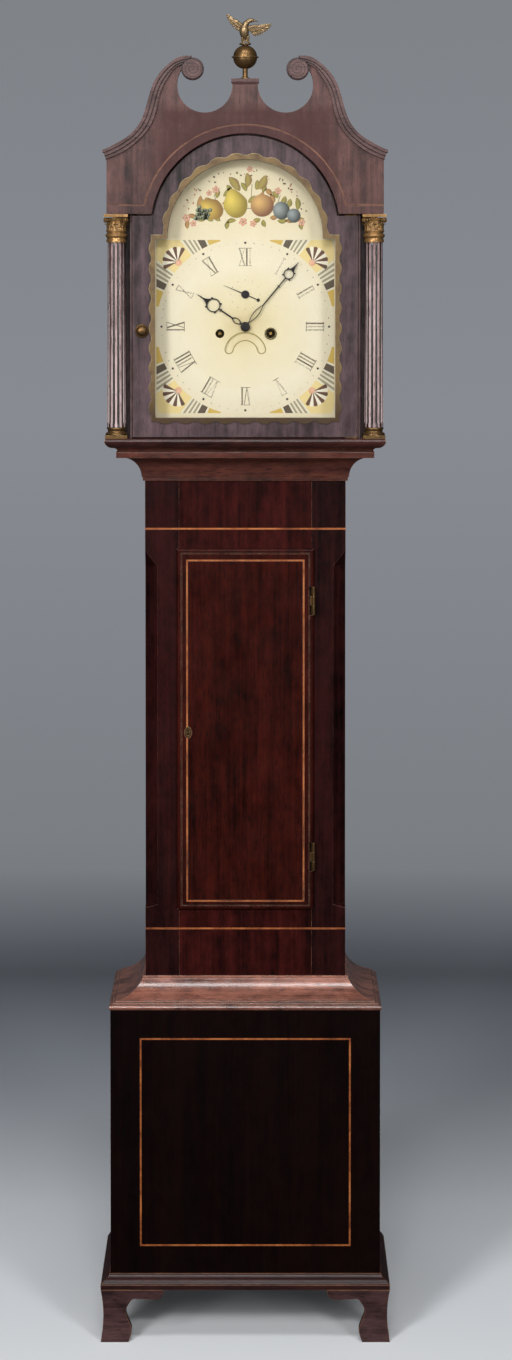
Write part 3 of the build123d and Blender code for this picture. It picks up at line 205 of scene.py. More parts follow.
tree.links.new(mix_looks(tree, from_behind, front_look, unseen), out.inputs["Surface"])
sheet_mesh.materials.append(backdrop_paint)

# Studio light: a soft lamp on each side of the camera, one above it that reaches into the
# recess of the dial, one overhead for the mouldings, and a little grey from the room.


def soft_lamp(name, place, aim, wide, high, power):
    """A rectangular lamp at a place, turned to face the aim."""
    data = bpy.data.lights.new(name, "AREA")
    data.shape = "RECTANGLE"
    data.size = wide
    data.size_y = high
    data.energy = power
    lamp = bpy.data.objects.new(name, data)
    lamp.location = place
    lamp.rotation_euler = (Vector(aim) - Vector(place)).to_track_quat("-Z", "Y").to_euler()
    scene.collection.objects.link(lamp)


soft_lamp("lamp_left", (-2.1, -4.0, 2.7), (0, 0, 1.4), 0.9, 2.4, 106)
soft_lamp("lamp_right", (2.3, -4.2, 2.4), (0, 0, 1.3), 0.8, 2.4, 58)
soft_lamp("lamp_front", (0.0, -5.0, 3.6), (0, 0, 1.6), 1.4, 0.7, 76)
soft_lamp("lamp_above", (0.0, -1.7, 4.3), (0, 0, 1.0), 2.4, 0.8, 45)
room = bpy.data.worlds.new("room")
room.use_nodes = True
room.node_tree.nodes["Background"].inputs["Color"].default_value = shade(190, 194, 200)
room.node_tree.nodes["Background"].inputs["Strength"].default_value = 0.1
scene.world = room

# Bracket feet: mahogany brackets sawn to a shaped outline and glued under the base. They are
# dark with age and rubbed to a pale tan along their edges.


def new_group(name, inputs, outputs):
    """An empty shader node group, with the sockets that it is given and those that it puts out."""
    group = bpy.data.node_groups.new(name, "ShaderNodeTree")
    for label, kind, default in inputs:
        socket = group.interface.new_socket(label, in_out="INPUT", socket_type="NodeSocket" + kind)
        if default is not None:
            socket.default_value = default
    for label, kind in outputs:
        group.interface.new_socket(label, in_out="OUTPUT", socket_type="NodeSocket" + kind)
    given = group.nodes.new("NodeGroupInput").outputs
    end = group.nodes.new("NodeGroupOutput").inputs
    return group, given, end


def put_out(group, end, results):
    """Links a group's results to the sockets that it puts out."""
    for label, socket in results.items():
        group.links.new(socket, end[label])


def use_group(tree, group, inputs):
    """What a group puts out, where a material's tree uses it once."""
    return add(tree, "ShaderNodeGroup", inputs, node_tree=group).outputs


def noise(tree, vector, scale, detail, rough, distortion=0.0):
    """A cloudy value from 0 to 1."""
    inputs = {"Vector": vector, "Scale": scale, "Detail": detail, "Roughness": rough}
    inputs["Distortion"] = distortion
    return add(tree, "ShaderNodeTexNoise", inputs).outputs["Fac"]


def mix(tree, factor, one, two):
    """The colour one turned into two as far as the factor says."""
    return add(tree, "ShaderNodeMix", {"Factor": factor, 6: one, 7: two}, data_type="RGBA").outputs[2]


def bumped(tree, height, normal, strength, distance):
    """The normal with a bump on it."""
    inputs = {"Height": height, "Normal": normal, "Strength": strength, "Distance": distance}
    return add(tree, "ShaderNodeBump", inputs).outputs["Normal"]


def principled(tree, out, inputs):
    """Gives a material its surface: one Principled shader with these inputs."""
    look = add(tree, "ShaderNodeBsdfPrincipled", inputs)
    tree.links.new(look.outputs[0], out.inputs["Surface"])


# Edge wear finds the sharp edges of a piece and breaks them up, and rounds their shading.
edge_wear, given, end = new_group(
    "edge_wear",
    [("Radius", "Float", 0.0015), ("Scale", "Float", 40.0), ("Cover", "Float", 0.5)],
    [("Mask", "Float"), ("Normal", "Vector")],
)
rounded = add(edge_wear, "ShaderNodeBevel", {"Radius": given["Radius"]}, samples=6).outputs["Normal"]
straight = add(edge_wear, "ShaderNodeNewGeometry").outputs["Normal"]
agree = add(edge_wear, "ShaderNodeVectorMath", {0: rounded, 1: straight}, operation="DOT_PRODUCT")
edge_mask = spread(edge_wear, agree.outputs["Value"], 0.985, 0.86)
breaks = noise(edge_wear, object_place(edge_wear), given["Scale"], 4.0, 0.65)
low_limit = calculate(edge_wear, "SUBTRACT", 0.72, given["Cover"])
break_mask = spread(edge_wear, breaks, low_limit, 0.75)
worn = calculate(edge_wear, "MULTIPLY", edge_mask, break_mask)
put_out(edge_wear, end, {"Mask": worn, "Normal": rounded})

# Hollow shade finds the flutes, quirks and corners by how closed in they are: a mask for painted shade.
hollow_shade, given, end = new_group("hollow_shade", [("Reach", "Float", 0.004)], [("Mask", "Float")])
openness = add(
    hollow_shade,
    "ShaderNodeAmbientOcclusion",
    {"Distance": given["Reach"]},
    samples=6,
    only_local=True,
)
put_out(hollow_shade, end, {"Mask": spread(hollow_shade, openness.outputs["AO"], 0.9, 0.5)})

# Wood figure: long streaks, broad light and dark bands, a mottle and short dark pores, all
# running along the third axis of the coordinates it is given.
wood_figure, given, end = new_group(
    "wood_figure",
    [
        ("Vector", "Vector", None),
        ("Dark", "Color", (0.02, 0.005, 0.004, 1.0)),
        ("Light", "Color", (0.09, 0.03, 0.02, 1.0)),
        ("Gloss", "Float", 0.3),
    ],
    [("Color", "Color"), ("Roughness", "Float"), ("Height", "Float")],
)


def grain_noise(tree, vector, across, along, detail, rough, distortion=0.0):
    """Noise that is scaled across the grain and along it."""
    scaled = add(tree, "ShaderNodeMapping", {"Vector": vector, "Scale": (across, across, along)})
    return noise(tree, scaled.outputs["Vector"], 1.0, detail, rough, distortion)


streaks = grain_noise(wood_figure, given["Vector"], 110.0, 3.2, 7.0, 0.62, 0.5)
bands = grain_noise(wood_figure, given["Vector"], 13.0, 2.4, 4.0, 0.5, 1.1)
mottle = grain_noise(wood_figure, given["Vector"], 46.0, 26.0, 5.0, 0.7)
pores = grain_noise(wood_figure, given["Vector"], 900.0, 55.0, 2.0, 0.5)
banded = calculate(wood_figure, "ADD", streaks, bands)
figure = spread(wood_figure, calculate(wood_figure, "ADD", banded, mottle), 1.12, 1.84)
body_tint = mix(wood_figure, figure, given["Dark"], given["Light"])
pore_mask = spread(wood_figure, pores, 0.58, 0.72)
pored = mix(wood_figure, pore_mask, body_tint, (0.004, 0.002, 0.002, 1.0))
smears = noise(wood_figure, given["Vector"], 14.0, 5.0, 0.6)
smear_gloss = spread(wood_figure, smears, 0.3, 0.7, 0.0, 0.16)
rough = calculate(wood_figure, "ADD", smear_gloss, given["Gloss"])
unsunk = calculate(wood_figure, "SUBTRACT", 1.0, pore_mask)
put_out(wood_figure, end, {"Color": pored, "Roughness": rough, "Height": unsunk})

ALONG = {"up": (0.0, 0.0, 0.0), "across": (0.0, math.pi / 2, 0.0)}


def polished_wood(
    name, dark, light, rubbed, grain, gloss=0.3, cover=0.35, radius=0.0014, coat=0.35, shine=0.3, reach=0.004
):
    """Old polished wood: figure along the grain, edges rubbed pale, painted shade in hollows, a thin coat."""
    material, tree, out = blank_material(name)
    turned = add(tree, "ShaderNodeMapping", {"Vector": object_place(tree), "Rotation": ALONG[grain]})
    figure = use_group(
        tree,
        wood_figure,
        {"Vector": turned.outputs["Vector"], "Dark": shade(*dark), "Light": shade(*light), "Gloss": gloss},
    )
    wear = use_group(tree, edge_wear, {"Radius": radius, "Scale": 45.0, "Cover": cover})
    hollow_shading = use_group(tree, hollow_shade, {"Reach": reach})
    tint = mix(tree, wear["Mask"], figure["Color"], shade(*rubbed))
    # The hollows are darkened to near black as painted shade.
    principled(
        tree,
        out,
        {
            "Base Color": mix(tree, hollow_shading["Mask"], tint, shade(16, 6, 6)),
            "Roughness": figure["Roughness"],
            "Normal": bumped(tree, figure["Height"], wear["Normal"], 0.25, 0.0004),
            "Coat Weight": coat,
            "Coat Roughness": 0.16,
            "Specular IOR Level": shine,
        },
    )
    return material


def dress(names, material):
    """Gives CAD nodes their finish."""
    for name in names:
        mesh = cad_nodes[name].data
        mesh.materials.clear()
        mesh.materials.append(material)


foot_wood = polished_wood(
    "foot_wood", (34, 19, 19), (98, 68, 68), (190, 140, 92), "across",
    gloss=0.42, cover=0.5, radius=0.002, coat=0.1, shine=0.2,
)
dress(["bracket_feet"], foot_wood)

# Base moulding: a mitred mahogany strip glued round the foot of the base. Its edges are worn
# through the polish in pale lines.
moulding_wood = polished_wood(
    "moulding_wood", (20, 8, 8), (62, 30, 28), (196, 128, 84), "across", cover=0.5, radius=0.0016, coat=0.2
)
dress(["base_moulding"], moulding_wood)

# Base: a veneered front panel and its sides, almost black with age and hardly shining, glued
# up round a deal floor.
base_wood = polished_wood(
    "base_wood", (5, 1, 1), (20, 5, 4), (84, 42, 32), "up",
    gloss=0.45, cover=0.25, radius=0.0012, coat=0.0, shine=0.06,
)
dress(["base_front_panel", "base_sides"], base_wood)


def deal_board(name, grain):
    """Plain pale deal, unpolished."""
    return polished_wood(
        name, (88, 62, 40), (150, 112, 74), (176, 142, 100), grain,
        gloss=0.6, cover=0.3, radius=0.001, coat=0.0,
    )


deal = deal_board("deal", "up")
deal_across = deal_board("deal_across", "across")
dress(["base_floor"], deal_across)

# Cove moulding: a hollow mahogany strip mitred round the top of the base, where the trunk stands
# in it. It is glossier and redder than the base and catches the light on its hollow.
cove_wood = polished_wood(
    "cove_wood", (56, 24, 19), (190, 124, 103), (226, 180, 150), "across",
    gloss=0.16, cover=0.45, radius=0.0016, coat=1.0, shine=0.6,
)
dress(["base_cove_moulding"], cove_wood)

# Trunk: mahogany stiles with canted corners, rails glued between them and plain sides, all
# nailed to a deal backboard as high as the case.
trunk_wood = polished_wood(
    "trunk_wood", (6, 1, 2), (52, 19, 18), (168, 120, 98), "up",
    gloss=0.34, cover=0.38, coat=0.04, shine=0.07,
)
rail_wood = polished_wood(
    "rail_wood", (9, 2, 2), (68, 22, 19), (140, 86, 66), "up",
    gloss=0.34, cover=0.3, radius=0.0012, coat=0.03, shine=0.06,
)
dress(["trunk_stiles", "trunk_sides"], trunk_wood)
dress(["trunk_rails"], rail_wood)
dress(["backboard"], deal)

# Stringing: thin boxwood lines let in flush with the veneer, orange-tan under the polish and
# uneven with age.
string_wood, tree, out = blank_material("string_wood")
string_tint = ramp(
    tree,
    noise(tree, object_place(tree), 22.0, 5.0, 0.7),
    [
        (0.3, shade(86, 40, 22)),
        (0.48, shade(156, 86, 44)),
        (0.62, shade(190, 114, 62)),
        (0.8, shade(120, 64, 36)),
    ],
)
principled(
    tree,
    out,
    {"Base Color": string_tint, "Roughness": 0.3, "Coat Weight": 0.3, "Coat Roughness": 0.2},
)
dress(["case_stringing", "door_stringing"], string_wood)

# Trunk door: one figured mahogany board, its edge worked to a lip and a bead that close over
# the stiles and are rubbed pale.
door_wood = polished_wood(
    "door_wood", (5, 1, 1), (66, 20, 13), (196, 150, 128), "up",
    gloss=0.32, cover=0.55, radius=0.0013, coat=0.04, shine=0.07,
)
dress(["trunk_door"], door_wood)

# Fittings of the doors: escutcheon, lock, hinges and pivots of brass let into the wood, and a
# steel bolt. Old brass is brown in its hollows and bright on its edges.
aged_metal, given, end = new_group(
    "aged_metal",
    [
        ("Clean", "Color", (0.5, 0.35, 0.12, 1.0)),
        ("Tarnish", "Color", (0.1, 0.06, 0.03, 1.0)),
        ("Amount", "Float", 0.5),
        ("Scale", "Float", 60.0),
    ],
    [("Color", "Color"), ("Roughness", "Float"), ("Height", "Float")],
)
blotches = noise(aged_metal, object_place(aged_metal), given["Scale"], 6.0, 0.68)
blotch_low = calculate(aged_metal, "SUBTRACT", 0.85, given["Amount"])
blotch_mask = spread(aged_metal, blotches, blotch_low, 0.78)
metal_tint = mix(aged_metal, blotch_mask, given["Clean"], given["Tarnish"])
metal_rough = spread(aged_metal, blotch_mask, 0.0, 1.0, 0.28, 0.62)
put_out(aged_metal, end, {"Color": metal_tint, "Roughness": metal_rough, "Height": blotches})


def old_metal(name, clean, tarnish, bright, amount=0.45, scale=70.0, metallic=0.85, radius=0.0008):
    """Metal with tarnish in patches and rubbed bright edges."""
    material, tree, out = blank_material(name)
    surface = use_group(
        tree,
        aged_metal,
        {"Clean": shade(*clean), "Tarnish": shade(*tarnish), "Amount": amount, "Scale": scale},
    )
    wear = use_group(tree, edge_wear, {"Radius": radius, "Scale": 120.0, "Cover": 0.55})
    principled(
        tree,
        out,
        {
            "Base Color": mix(tree, wear["Mask"], surface["Color"], shade(*bright)),
            "Roughness": surface["Roughness"],
            "Metallic": metallic,
            "Normal": bumped(tree, surface["Height"], wear["Normal"], 0.2, 0.0006),
        },
    )
    return material


old_brass = old_metal("old_brass", (120, 90, 54), (42, 29, 22), (226, 196, 138), amount=0.5)
dress(["door_escutcheon", "door_lock_case", "door_hinge_leaves"], old_brass)
dress(["trunk_hinge_leaves", "hood_door_pivots"], old_brass)
dark_steel = old_metal(
    "dark_steel", (58, 54, 56), (34, 27, 26), (130, 124, 120), amount=0.4, scale=90.0, metallic=0.7
)
dress(["lock_bolt"], dark_steel)

# Throat moulding: a hollow mahogany strip mitred round the top of the trunk, where the hood
# rests on it. Its upper edge is glossy.
throat_wood = polished_wood(
    "throat_wood", (42, 17, 14), (116, 64, 52), (196, 140, 110), "across",
    gloss=0.22, cover=0.4, radius=0.0016, coat=0.5,
)
dress(["throat_moulding"], throat_wood)

# Hood base: a moulded mahogany frame that slides forward off the trunk. Its upper edge is
# rubbed pale all along.
hood_base_wood = polished_wood(
    "hood_base_wood", (30, 12, 11), (92, 50, 44), (224, 190, 154), "across",
    cover=0.66, radius=0.0024, coat=0.3,
)
dress(["hood_base_frame"], hood_base_wood)

# Hood: mahogany sides, dial mask and front board glued up on the base frame under a deal roof.
# The polish has a grey bloom, but the board is red-brown between its sides and its neck.
hood_wood = polished_wood(
    "hood_wood", (20, 10, 12), (102, 80, 84), (176, 134, 110), "up", gloss=0.32, cover=0.36, coat=0.2
)
hood_board_wood = polished_wood(
    "hood_board_wood", (34, 18, 17), (112, 76, 71), (176, 128, 104), "up", gloss=0.34, cover=0.36, coat=0.15
)


def paint_over(material, mask, tint):
    """Mixes a tint into a material's colour as far as the mask says."""
    tree = material.node_tree
    look = next(node for node in tree.nodes if node.type == "BSDF_PRINCIPLED")
    plain = look.inputs["Base Color"].links[0].from_socket
    tree.links.new(mix(tree, mask, plain, shade(*tint)), look.inputs["Base Color"])


tree = hood_board_wood.node_tree
place = axes(tree)
near_side = spread(tree, calculate(tree, "ABSOLUTE", place["X"]), 0.14, 0.21)
near_neck = spread(tree, place["Z"], 2.17, 2.21)
bloomed = calculate(tree, "MAXIMUM", near_side, near_neck)
cloudy = noise(tree, object_place(tree), 26.0, 7.0, 0.72)
red_mask = spread(tree, calculate(tree, "ADD", bloomed, cloudy), 1.0, 0.45, to_high=0.85)
paint_over(hood_board_wood, red_mask, (60, 20, 17))
dress(["hood_sides", "dial_mask"], hood_wood)
dress(["hood_roof"], deal_across)
dress(["hood_front_board"], hood_board_wood)
faded_string = polished_wood(
    "faded_string", (72, 44, 36), (134, 92, 74), (160, 116, 90), "across",
    gloss=0.4, cover=0.3, radius=0.001, coat=0.0,
)
dress(["hood_stringing"], faded_string)

# Swan-neck mouldings and plinth cap: stepped mahogany mouldings glued along the board's top.
# Each ends in a round boss with a spiral groove painted on as a dark line of shade, one the
# mirror of the other.
swan_wood = polished_wood(
    "swan_wood", (58, 36, 35), (108, 80, 77), (150, 118, 108), "across",
    gloss=0.26, cover=0.1, radius=0.0006, coat=0.4, reach=0.003,
)
scroll_x = 0.092
scroll_z = 2.2465
scroll_radius = 0.0185
spiral_pitch = 0.0062
tree = swan_wood.node_tree
place = axes(tree)
beside = calculate(tree, "SUBTRACT", calculate(tree, "ABSOLUTE", place["X"]), scroll_x)
over = calculate(tree, "SUBTRACT", place["Z"], scroll_z)
flat_place = add(tree, "ShaderNodeCombineXYZ", {"X": beside, "Y": over}).outputs[0]
from_eye = add(tree, "ShaderNodeVectorMath", {0: flat_place}, operation="LENGTH").outputs["Value"]
turns = calculate(tree, "DIVIDE", calculate(tree, "ARCTAN2", over, beside), math.tau)
wound = calculate(tree, "ADD", calculate(tree, "DIVIDE", from_eye, spiral_pitch), turns)
# Painted shade: the spiral line stands for the shade in a groove cut into the boss.
groove_shade = spread(tree, calculate(tree, "PINGPONG", wound, 0.5), 0.14, 0.05, to_high=0.8)
on_end = calculate(tree, "LESS_THAN", from_eye, scroll_radius)
paint_over(swan_wood, calculate(tree, "MULTIPLY", groove_shade, on_end), (30, 14, 14))
dress(["swan_neck_mouldings", "finial_plinth"], swan_wood)

# Columns: turned and fluted mahogany, pegged between the hood's base and its board. The flutes
# are painted dark as shade and the ribs painted pale as highlight.
column_x = 0.2266
column_y = -0.098
flutes = 12
# The pale wood colour and near-white rubbed edges paint a highlight onto the ribs.
column_wood = polished_wood(
    "column_wood", (104, 72, 70), (212, 186, 184), (255, 246, 240), "up",
    gloss=0.18, cover=0.7, radius=0.0012, coat=0.7,
)
tree = column_wood.node_tree
place = axes(tree)
beside = calculate(tree, "SUBTRACT", calculate(tree, "ABSOLUTE", place["X"]), column_x)
before = calculate(tree, "SUBTRACT", place["Y"], column_y)
flute_turn = calculate(tree, "MULTIPLY", calculate(tree, "ARCTAN2", before, beside), flutes)
# Painted shade: each flute is darkened by its bearing round the column's axis.
paint_over(column_wood, spread(tree, calculate(tree, "COSINE", flute_turn), 0.3, -0.35), (24, 9, 10))
dress(["hood_columns"], column_wood)

# Column bases and finial ball: turned brass, the bases pinned under the columns and the ball
# screwed on a stem into the plinth.
finial_brass = old_metal(
    "finial_brass", (138, 106, 66), (48, 33, 24), (214, 184, 130), amount=0.5, scale=90.0, metallic=0.8
)
dress(["column_bases", "finial_ball"], finial_brass)

# Column capitals: cast brass caps slipped over the column tops, each a bell with two rows of
# curled leaves, four corner scrolls and a hollow-sided top plate, over two turned rings.


def patch(bm, across, along, place):
    """A grid of faces whose points go where place(u, v) says, with u and v from 0 to 1."""
    made = bmesh.ops.create_grid(bm, x_segments=across, y_segments=along, size=0.5)["verts"]
    for vert in made:
        vert.co = place(vert.co.x + 0.5, vert.co.y + 0.5)
    bmesh.ops.remove_doubles(bm, verts=made, dist=1e-6)
    return [vert for vert in made if vert.is_valid]


def thicken(bm, verts, thick):
    """Gives the faces between these points a thickness."""
    inside = set(verts)
    faces = [face for face in bm.faces if inside.issuperset(face.verts)]
    bmesh.ops.solidify(bm, geom=faces, thickness=thick)


def lathe(bm, centre, profile, steps=48):
    """A closed turned shape about the vertical through centre; the profile is (radius, z)."""
    verts = [bm.verts.new((centre[0] + radius, centre[1], z)) for radius, z in profile]
    edges = [bm.edges.new(pair) for pair in zip(verts, verts[1:])]
    bmesh.ops.spin(
        bm,
        geom=verts + edges,
        cent=(centre[0], centre[1], 0.0),
        axis=(0.0, 0.0, 1.0),
        angle=math.tau,
        steps=steps,
        use_merge=True,
    )


def finish_piece(name, bm, material, body, replaced=(), closed=True):
    """Makes the object from its mesh and gives it its material and any body."""
    if closed:
        bmesh.ops.remove_doubles(bm, verts=bm.verts, dist=1e-6)
        bmesh.ops.recalc_face_normals(bm, faces=bm.faces)
    mesh = bpy.data.meshes.new(name)
    bm.to_mesh(mesh)
    bm.free()
    mesh.materials.append(material)
    for polygon in mesh.polygons:
        polygon.use_smooth = True
    mesh.set_sharp_from_angle(angle=math.radians(35.0))
    piece = bpy.data.objects.new(name, mesh)
    scene.collection.objects.link(piece)
    if body:
        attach(piece, body)
    for node in replaced:
        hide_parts(node)
    return piece


def curled_leaf(bm, centre, turn, foot_radius, foot_z, tall, wide, curl):
    """An upright leaf with a midrib and lobed sides that leans out and curls over at its tip."""

    def place(u, v):
        lobes = 0.82 + 0.18 * math.cos(6 * math.pi * v)
        half = 0.5 * wide * lobes * (1.0 - 0.72 * v**4)
        side = (2 * u - 1) * half
        ridge = 0.0009 * (1 - abs(2 * u - 1)) + 0.0004 * math.cos(3 * math.pi * (2 * u - 1))
        lean = curl * v**3
        radius = foot_radius + lean + ridge
        z = foot_z + tall * math.sin(v * 1.85) / math.sin(1.4)
        bearing = turn + side / foot_radius
        return Vector((centre[0] + radius * math.cos(bearing), centre[1] + radius * math.sin(bearing), z))

    thicken(bm, patch(bm, 8, 10, place), 0.0008)


def corner_scroll(bm, centre, turn, hub_radius, hub_z, reach, wide):
    """A volute: a band that winds in on itself in the upright plane at this bearing."""

    def place(u, v):
        angle = -0.6 * math.pi + 3.2 * math.pi * v
        size = reach * (1.0 - 0.78 * v)
        radius = hub_radius + size * math.cos(angle)
        z = hub_z + size * math.sin(angle)
        side = (u - 0.5) * wide * (1.0 + 0.35 * v)
        x = centre[0] + radius * math.cos(turn) - side * math.sin(turn)
        y = centre[1] + radius * math.sin(turn) + side * math.cos(turn)
        return Vector((x, y, z))

    thicken(bm, patch(bm, 3, 26, place), 0.0009)


capital_brass = old_metal(
    "capital_brass", (172, 130, 78), (66, 44, 32), (236, 206, 150),
    amount=0.48, scale=160.0, metallic=0.6, radius=0.0006,
)
leaf_count = 8
plate_points = 48
capital_low = 1.943
capital_top = 1.9925
capital_profile = [
    (0.0, 0.0),
    (0.0172, 0.0),
    (0.0176, 0.0035),
    (0.0164, 0.006),
    (0.0164, 0.008),
    (0.0184, 0.0095),
    (0.0192, 0.012),
    (0.0184, 0.0145),
    (0.0162, 0.016),
    (0.0162, 0.0175),
    (0.0182, 0.0192),
    (0.0182, 0.021),
    (0.0152, 0.0225),
    (0.0146, 0.029),
    (0.0150, 0.037),
    (0.0172, 0.0435),
    (0.0, 0.0435),
]
for side, label in ((-1, "left"), (1, "right")):
    capital = bmesh.new()
    middle = (side * column_x, column_y)
    lathe(capital, middle, [(radius, capital_low + height) for radius, height in capital_profile])
    for index in range(leaf_count):
        bearing = math.tau * index / leaf_count
        between = bearing + math.pi / leaf_count
        curled_leaf(capital, middle, bearing, 0.0158, capital_low + 0.0215, 0.0105, 0.0122, 0.0038)
        curled_leaf(capital, middle, between, 0.0162, capital_low + 0.028, 0.0125, 0.0122, 0.0046)
    for index in range(4):
        bearing = math.pi / 4 + math.pi / 2 * index
        corner_scroll(capital, middle, bearing, 0.0232, capital_top - 0.0098, 0.0052, 0.0062)
    plate = []
    for index in range(plate_points):
        bearing = math.tau * index / plate_points
        corner = abs(math.cos(2 * bearing))
        radius = 0.0298 - 0.0098 * corner**0.6
        plate.append((middle[0] + radius * math.cos(bearing), middle[1] + radius * math.sin(bearing)))
    low_face = capital.faces.new([capital.verts.new((x, y, capital_top - 0.0048)) for x, y in plate])
    grown = bmesh.ops.extrude_face_region(capital, geom=[low_face])["geom"]
    for part in grown:
        if isinstance(part, bmesh.types.BMVert):
            part.co.z = capital_top
    finish_piece("capital_" + label, capital, capital_brass, "hood", ["column_capitals"])

# Eagle: cast brass, standing on a turned collar that is screwed into the ball. Its wings are
# spread with separate flight feathers, the left one raised, and its head is turned to the right.
eagle_brass = old_metal(
    "eagle_brass", (146, 122, 88), (74, 56, 42), (212, 190, 150), scale=220.0, metallic=0.7, radius=0.0005
)
eagle = bmesh.new()
eagle_y = -0.1028
eagle_foot = 2.289


def tube(bm, route, steps=14):
    """A closed shape along a route of (x, y from the eagle's middle, z, half width, half depth)."""
    spots = [Vector((spot[0], eagle_y + spot[1], spot[2])) for spot in route]

    def place(u, v):
        at = v * (len(route) - 1)
        index = min(int(at), len(route) - 2)
        part = at - index
        here = spots[index].lerp(spots[index + 1], part)
        wide = route[index][3] + (route[index + 1][3] - route[index][3]) * part
        deep = route[index][4] + (route[index + 1][4] - route[index][4]) * part
        before = spots[max(index - 1, 0)]
        after = spots[min(index + 2, len(spots) - 1)]
        run = (after - before).normalized()
        depth = Vector((0.0, 1.0, 0.0))
        depth = (depth - run * depth.dot(run)).normalized()
        across = run.cross(depth)
        turn = math.tau * u
        return here + across * (wide * math.cos(turn)) + depth * (deep * math.sin(turn))

    patch(bm, steps, 3 * (len(route) - 1), place)


def feather(bm, foot, tip, wide, lift):
    """A long feather with a raised shaft and a rounded tip, from foot to tip, both (x, z)."""
    foot = Vector((foot[0], eagle_y + lift, foot[1]))
    tip = Vector((tip[0], eagle_y + lift * 0.4, tip[1]))
    run = tip - foot
    across = run.cross(Vector((0.0, 1.0, 0.0))).normalized()

    def place(u, v):
        swell = 0.55 + 0.45 * math.sin(math.pi * min(1.0, v * 1.2))
        half = 0.5 * wide * swell * math.sqrt(max(0.0, 1 - v**5))
        shaft = 0.0006 * (1 - abs(2 * u - 1))
        return foot + run * v + across * ((2 * u - 1) * half) + Vector((0.0, -shaft, 0.0))

    thicken(bm, patch(bm, 4, 8, place), 0.0007)


tube(
    eagle,
    [
        (0.0005, 0.004, 2.2975, 0.0, 0.0),
        (0.0, 0.003, 2.3005, 0.0042, 0.0038),
        (-0.0012, 0.0, 2.306, 0.0074, 0.0066),
        (-0.0018, -0.001, 2.313, 0.0086, 0.0074),
        (-0.0012, -0.001, 2.320, 0.0080, 0.0068),
        (0.0012, 0.0, 2.3255, 0.0056, 0.0050),
        (0.0048, 0.0, 2.3300, 0.0040, 0.0038),
        (0.0092, 0.0, 2.3322, 0.0040, 0.0036),
        (0.0130, 0.0, 2.3322, 0.0034, 0.0030),
        (0.0158, 0.0, 2.3316, 0.0018, 0.0018),
        (0.0205, 0.0, 2.3308, 0.0011, 0.0011),
        (0.0232, 0.0, 2.3290, 0.0, 0.0),
    ],
)
# Where the flight feathers end, in millimetres out from the middle and up from 2 m.
left_tips = [(-33.2, 343.4), (-32.6, 339.2), (-31.2, 334.8), (-29.2, 330.4), (-26.6, 326.2), (-23.4, 322.0)]
left_tips += [(-20.0, 318.2), (-16.6, 315.4), (-13.4, 313.6)]
right_tips = [(46.6, 325.6), (46.2, 322.2), (44.2, 318.8), (41.2, 315.4), (37.4, 312.2), (33.0, 309.2)]
right_tips += [(28.4, 306.8), (23.6, 305.0), (19.0, 304.0)]
for side, tips, shoulder, wrist in (
    (-1, left_tips, (-0.0055, 2.3225), (-0.0215, 2.3335)),
    (1, right_tips, (0.0065, 2.3190), (0.0255, 2.3215)),
):
    for index, (x, z) in enumerate(tips):
        part = index / (len(tips) - 1)
        foot = tuple(outer + (inner - outer) * part for outer, inner in zip(wrist, shoulder))
        tip = (x / 1000, 2 + z / 1000)
        feather(eagle, foot, tip, 0.0052, 0.0008 * (index % 2))
        cover_tip = (foot[0] + (tip[0] - foot[0]) * 0.55, foot[1] + (tip[1] - foot[1]) * 0.55)
        feather(eagle, foot, cover_tip, 0.0048, -0.0016)
    elbow = ((shoulder[0] + wrist[0]) / 2, (shoulder[1] + wrist[1]) / 2 + 0.0015)
    wing_end = wrist[1] + (0.0045 if side < 0 else 0.002)
    tube(
        eagle,
        [
            (shoulder[0] - side * 0.003, 0.0, shoulder[1] - 0.002, 0.0, 0.0),
            (shoulder[0], 0.0, shoulder[1], 0.0036, 0.0030),
            (elbow[0], -0.001, elbow[1], 0.0030, 0.0026),
            (wrist[0], 0.0, wrist[1] + 0.0008, 0.0022, 0.0020),
            (wrist[0] + side * 0.006, 0.0, wing_end, 0.0, 0.0),
        ],
    )
for index in range(5):
    lean = (index - 2) * 0.0026
    feather(eagle, (lean * 0.3, 2.3045), (lean + 0.0015, 2.2942), 0.0042, 0.0045)
for side in (-1, 1):
    tube(
        eagle,
        [
            (side * 0.0034, 0.0, 2.3075, 0.0, 0.0),
            (side * 0.0044, 0.0, 2.3045, 0.0034, 0.0032),
            (side * 0.0050, 0.0, 2.2995, 0.0024, 0.0024),
            (side * 0.0056, 0.0, 2.2945, 0.0013, 0.0013),
            (side * 0.0062, -0.001, 2.2920, 0.0026, 0.0034),
            (side * 0.0062, -0.001, 2.2905, 0.0, 0.0),
        ],
        10,
    )
collar = [
    (0.0, 0.0),
    (0.0085, 0.0),
    (0.0108, 0.0012),
    (0.0108, 0.0022),
    (0.0086, 0.0032),
    (0.0, 0.0036),
]
lathe(eagle, (0.0, eagle_y), [(radius, eagle_foot + height) for radius, height in collar], 32)
finish_piece("eagle", eagle, eagle_brass, "hood", ["finial_eagle"])

# Hood door: an arched mahogany frame, hung on brass pivots at its right edge, that holds the
# glass in a rebate.
dress(["hood_door_frame"], hood_wood)

# Pane: thin old glass, clear, puttied into the door from behind.
pane_glass, tree, out = blank_material("pane_glass")
clear = add(tree, "ShaderNodeBsdfTransparent", {"Color": (0.995, 1.0, 0.995, 1.0)}).outputs[0]
shine = add(tree, "ShaderNodeBsdfGlossy", {"Color": (1.0, 1.0, 1.0, 1.0), "Roughness": 0.03}).outputs[0]
facing = add(tree, "ShaderNodeFresnel", {"IOR": 1.45}).outputs[0]
tree.links.new(mix_looks(tree, facing, clear, shine), out.inputs["Surface"])
dress(["hood_door_glass"], pane_glass)

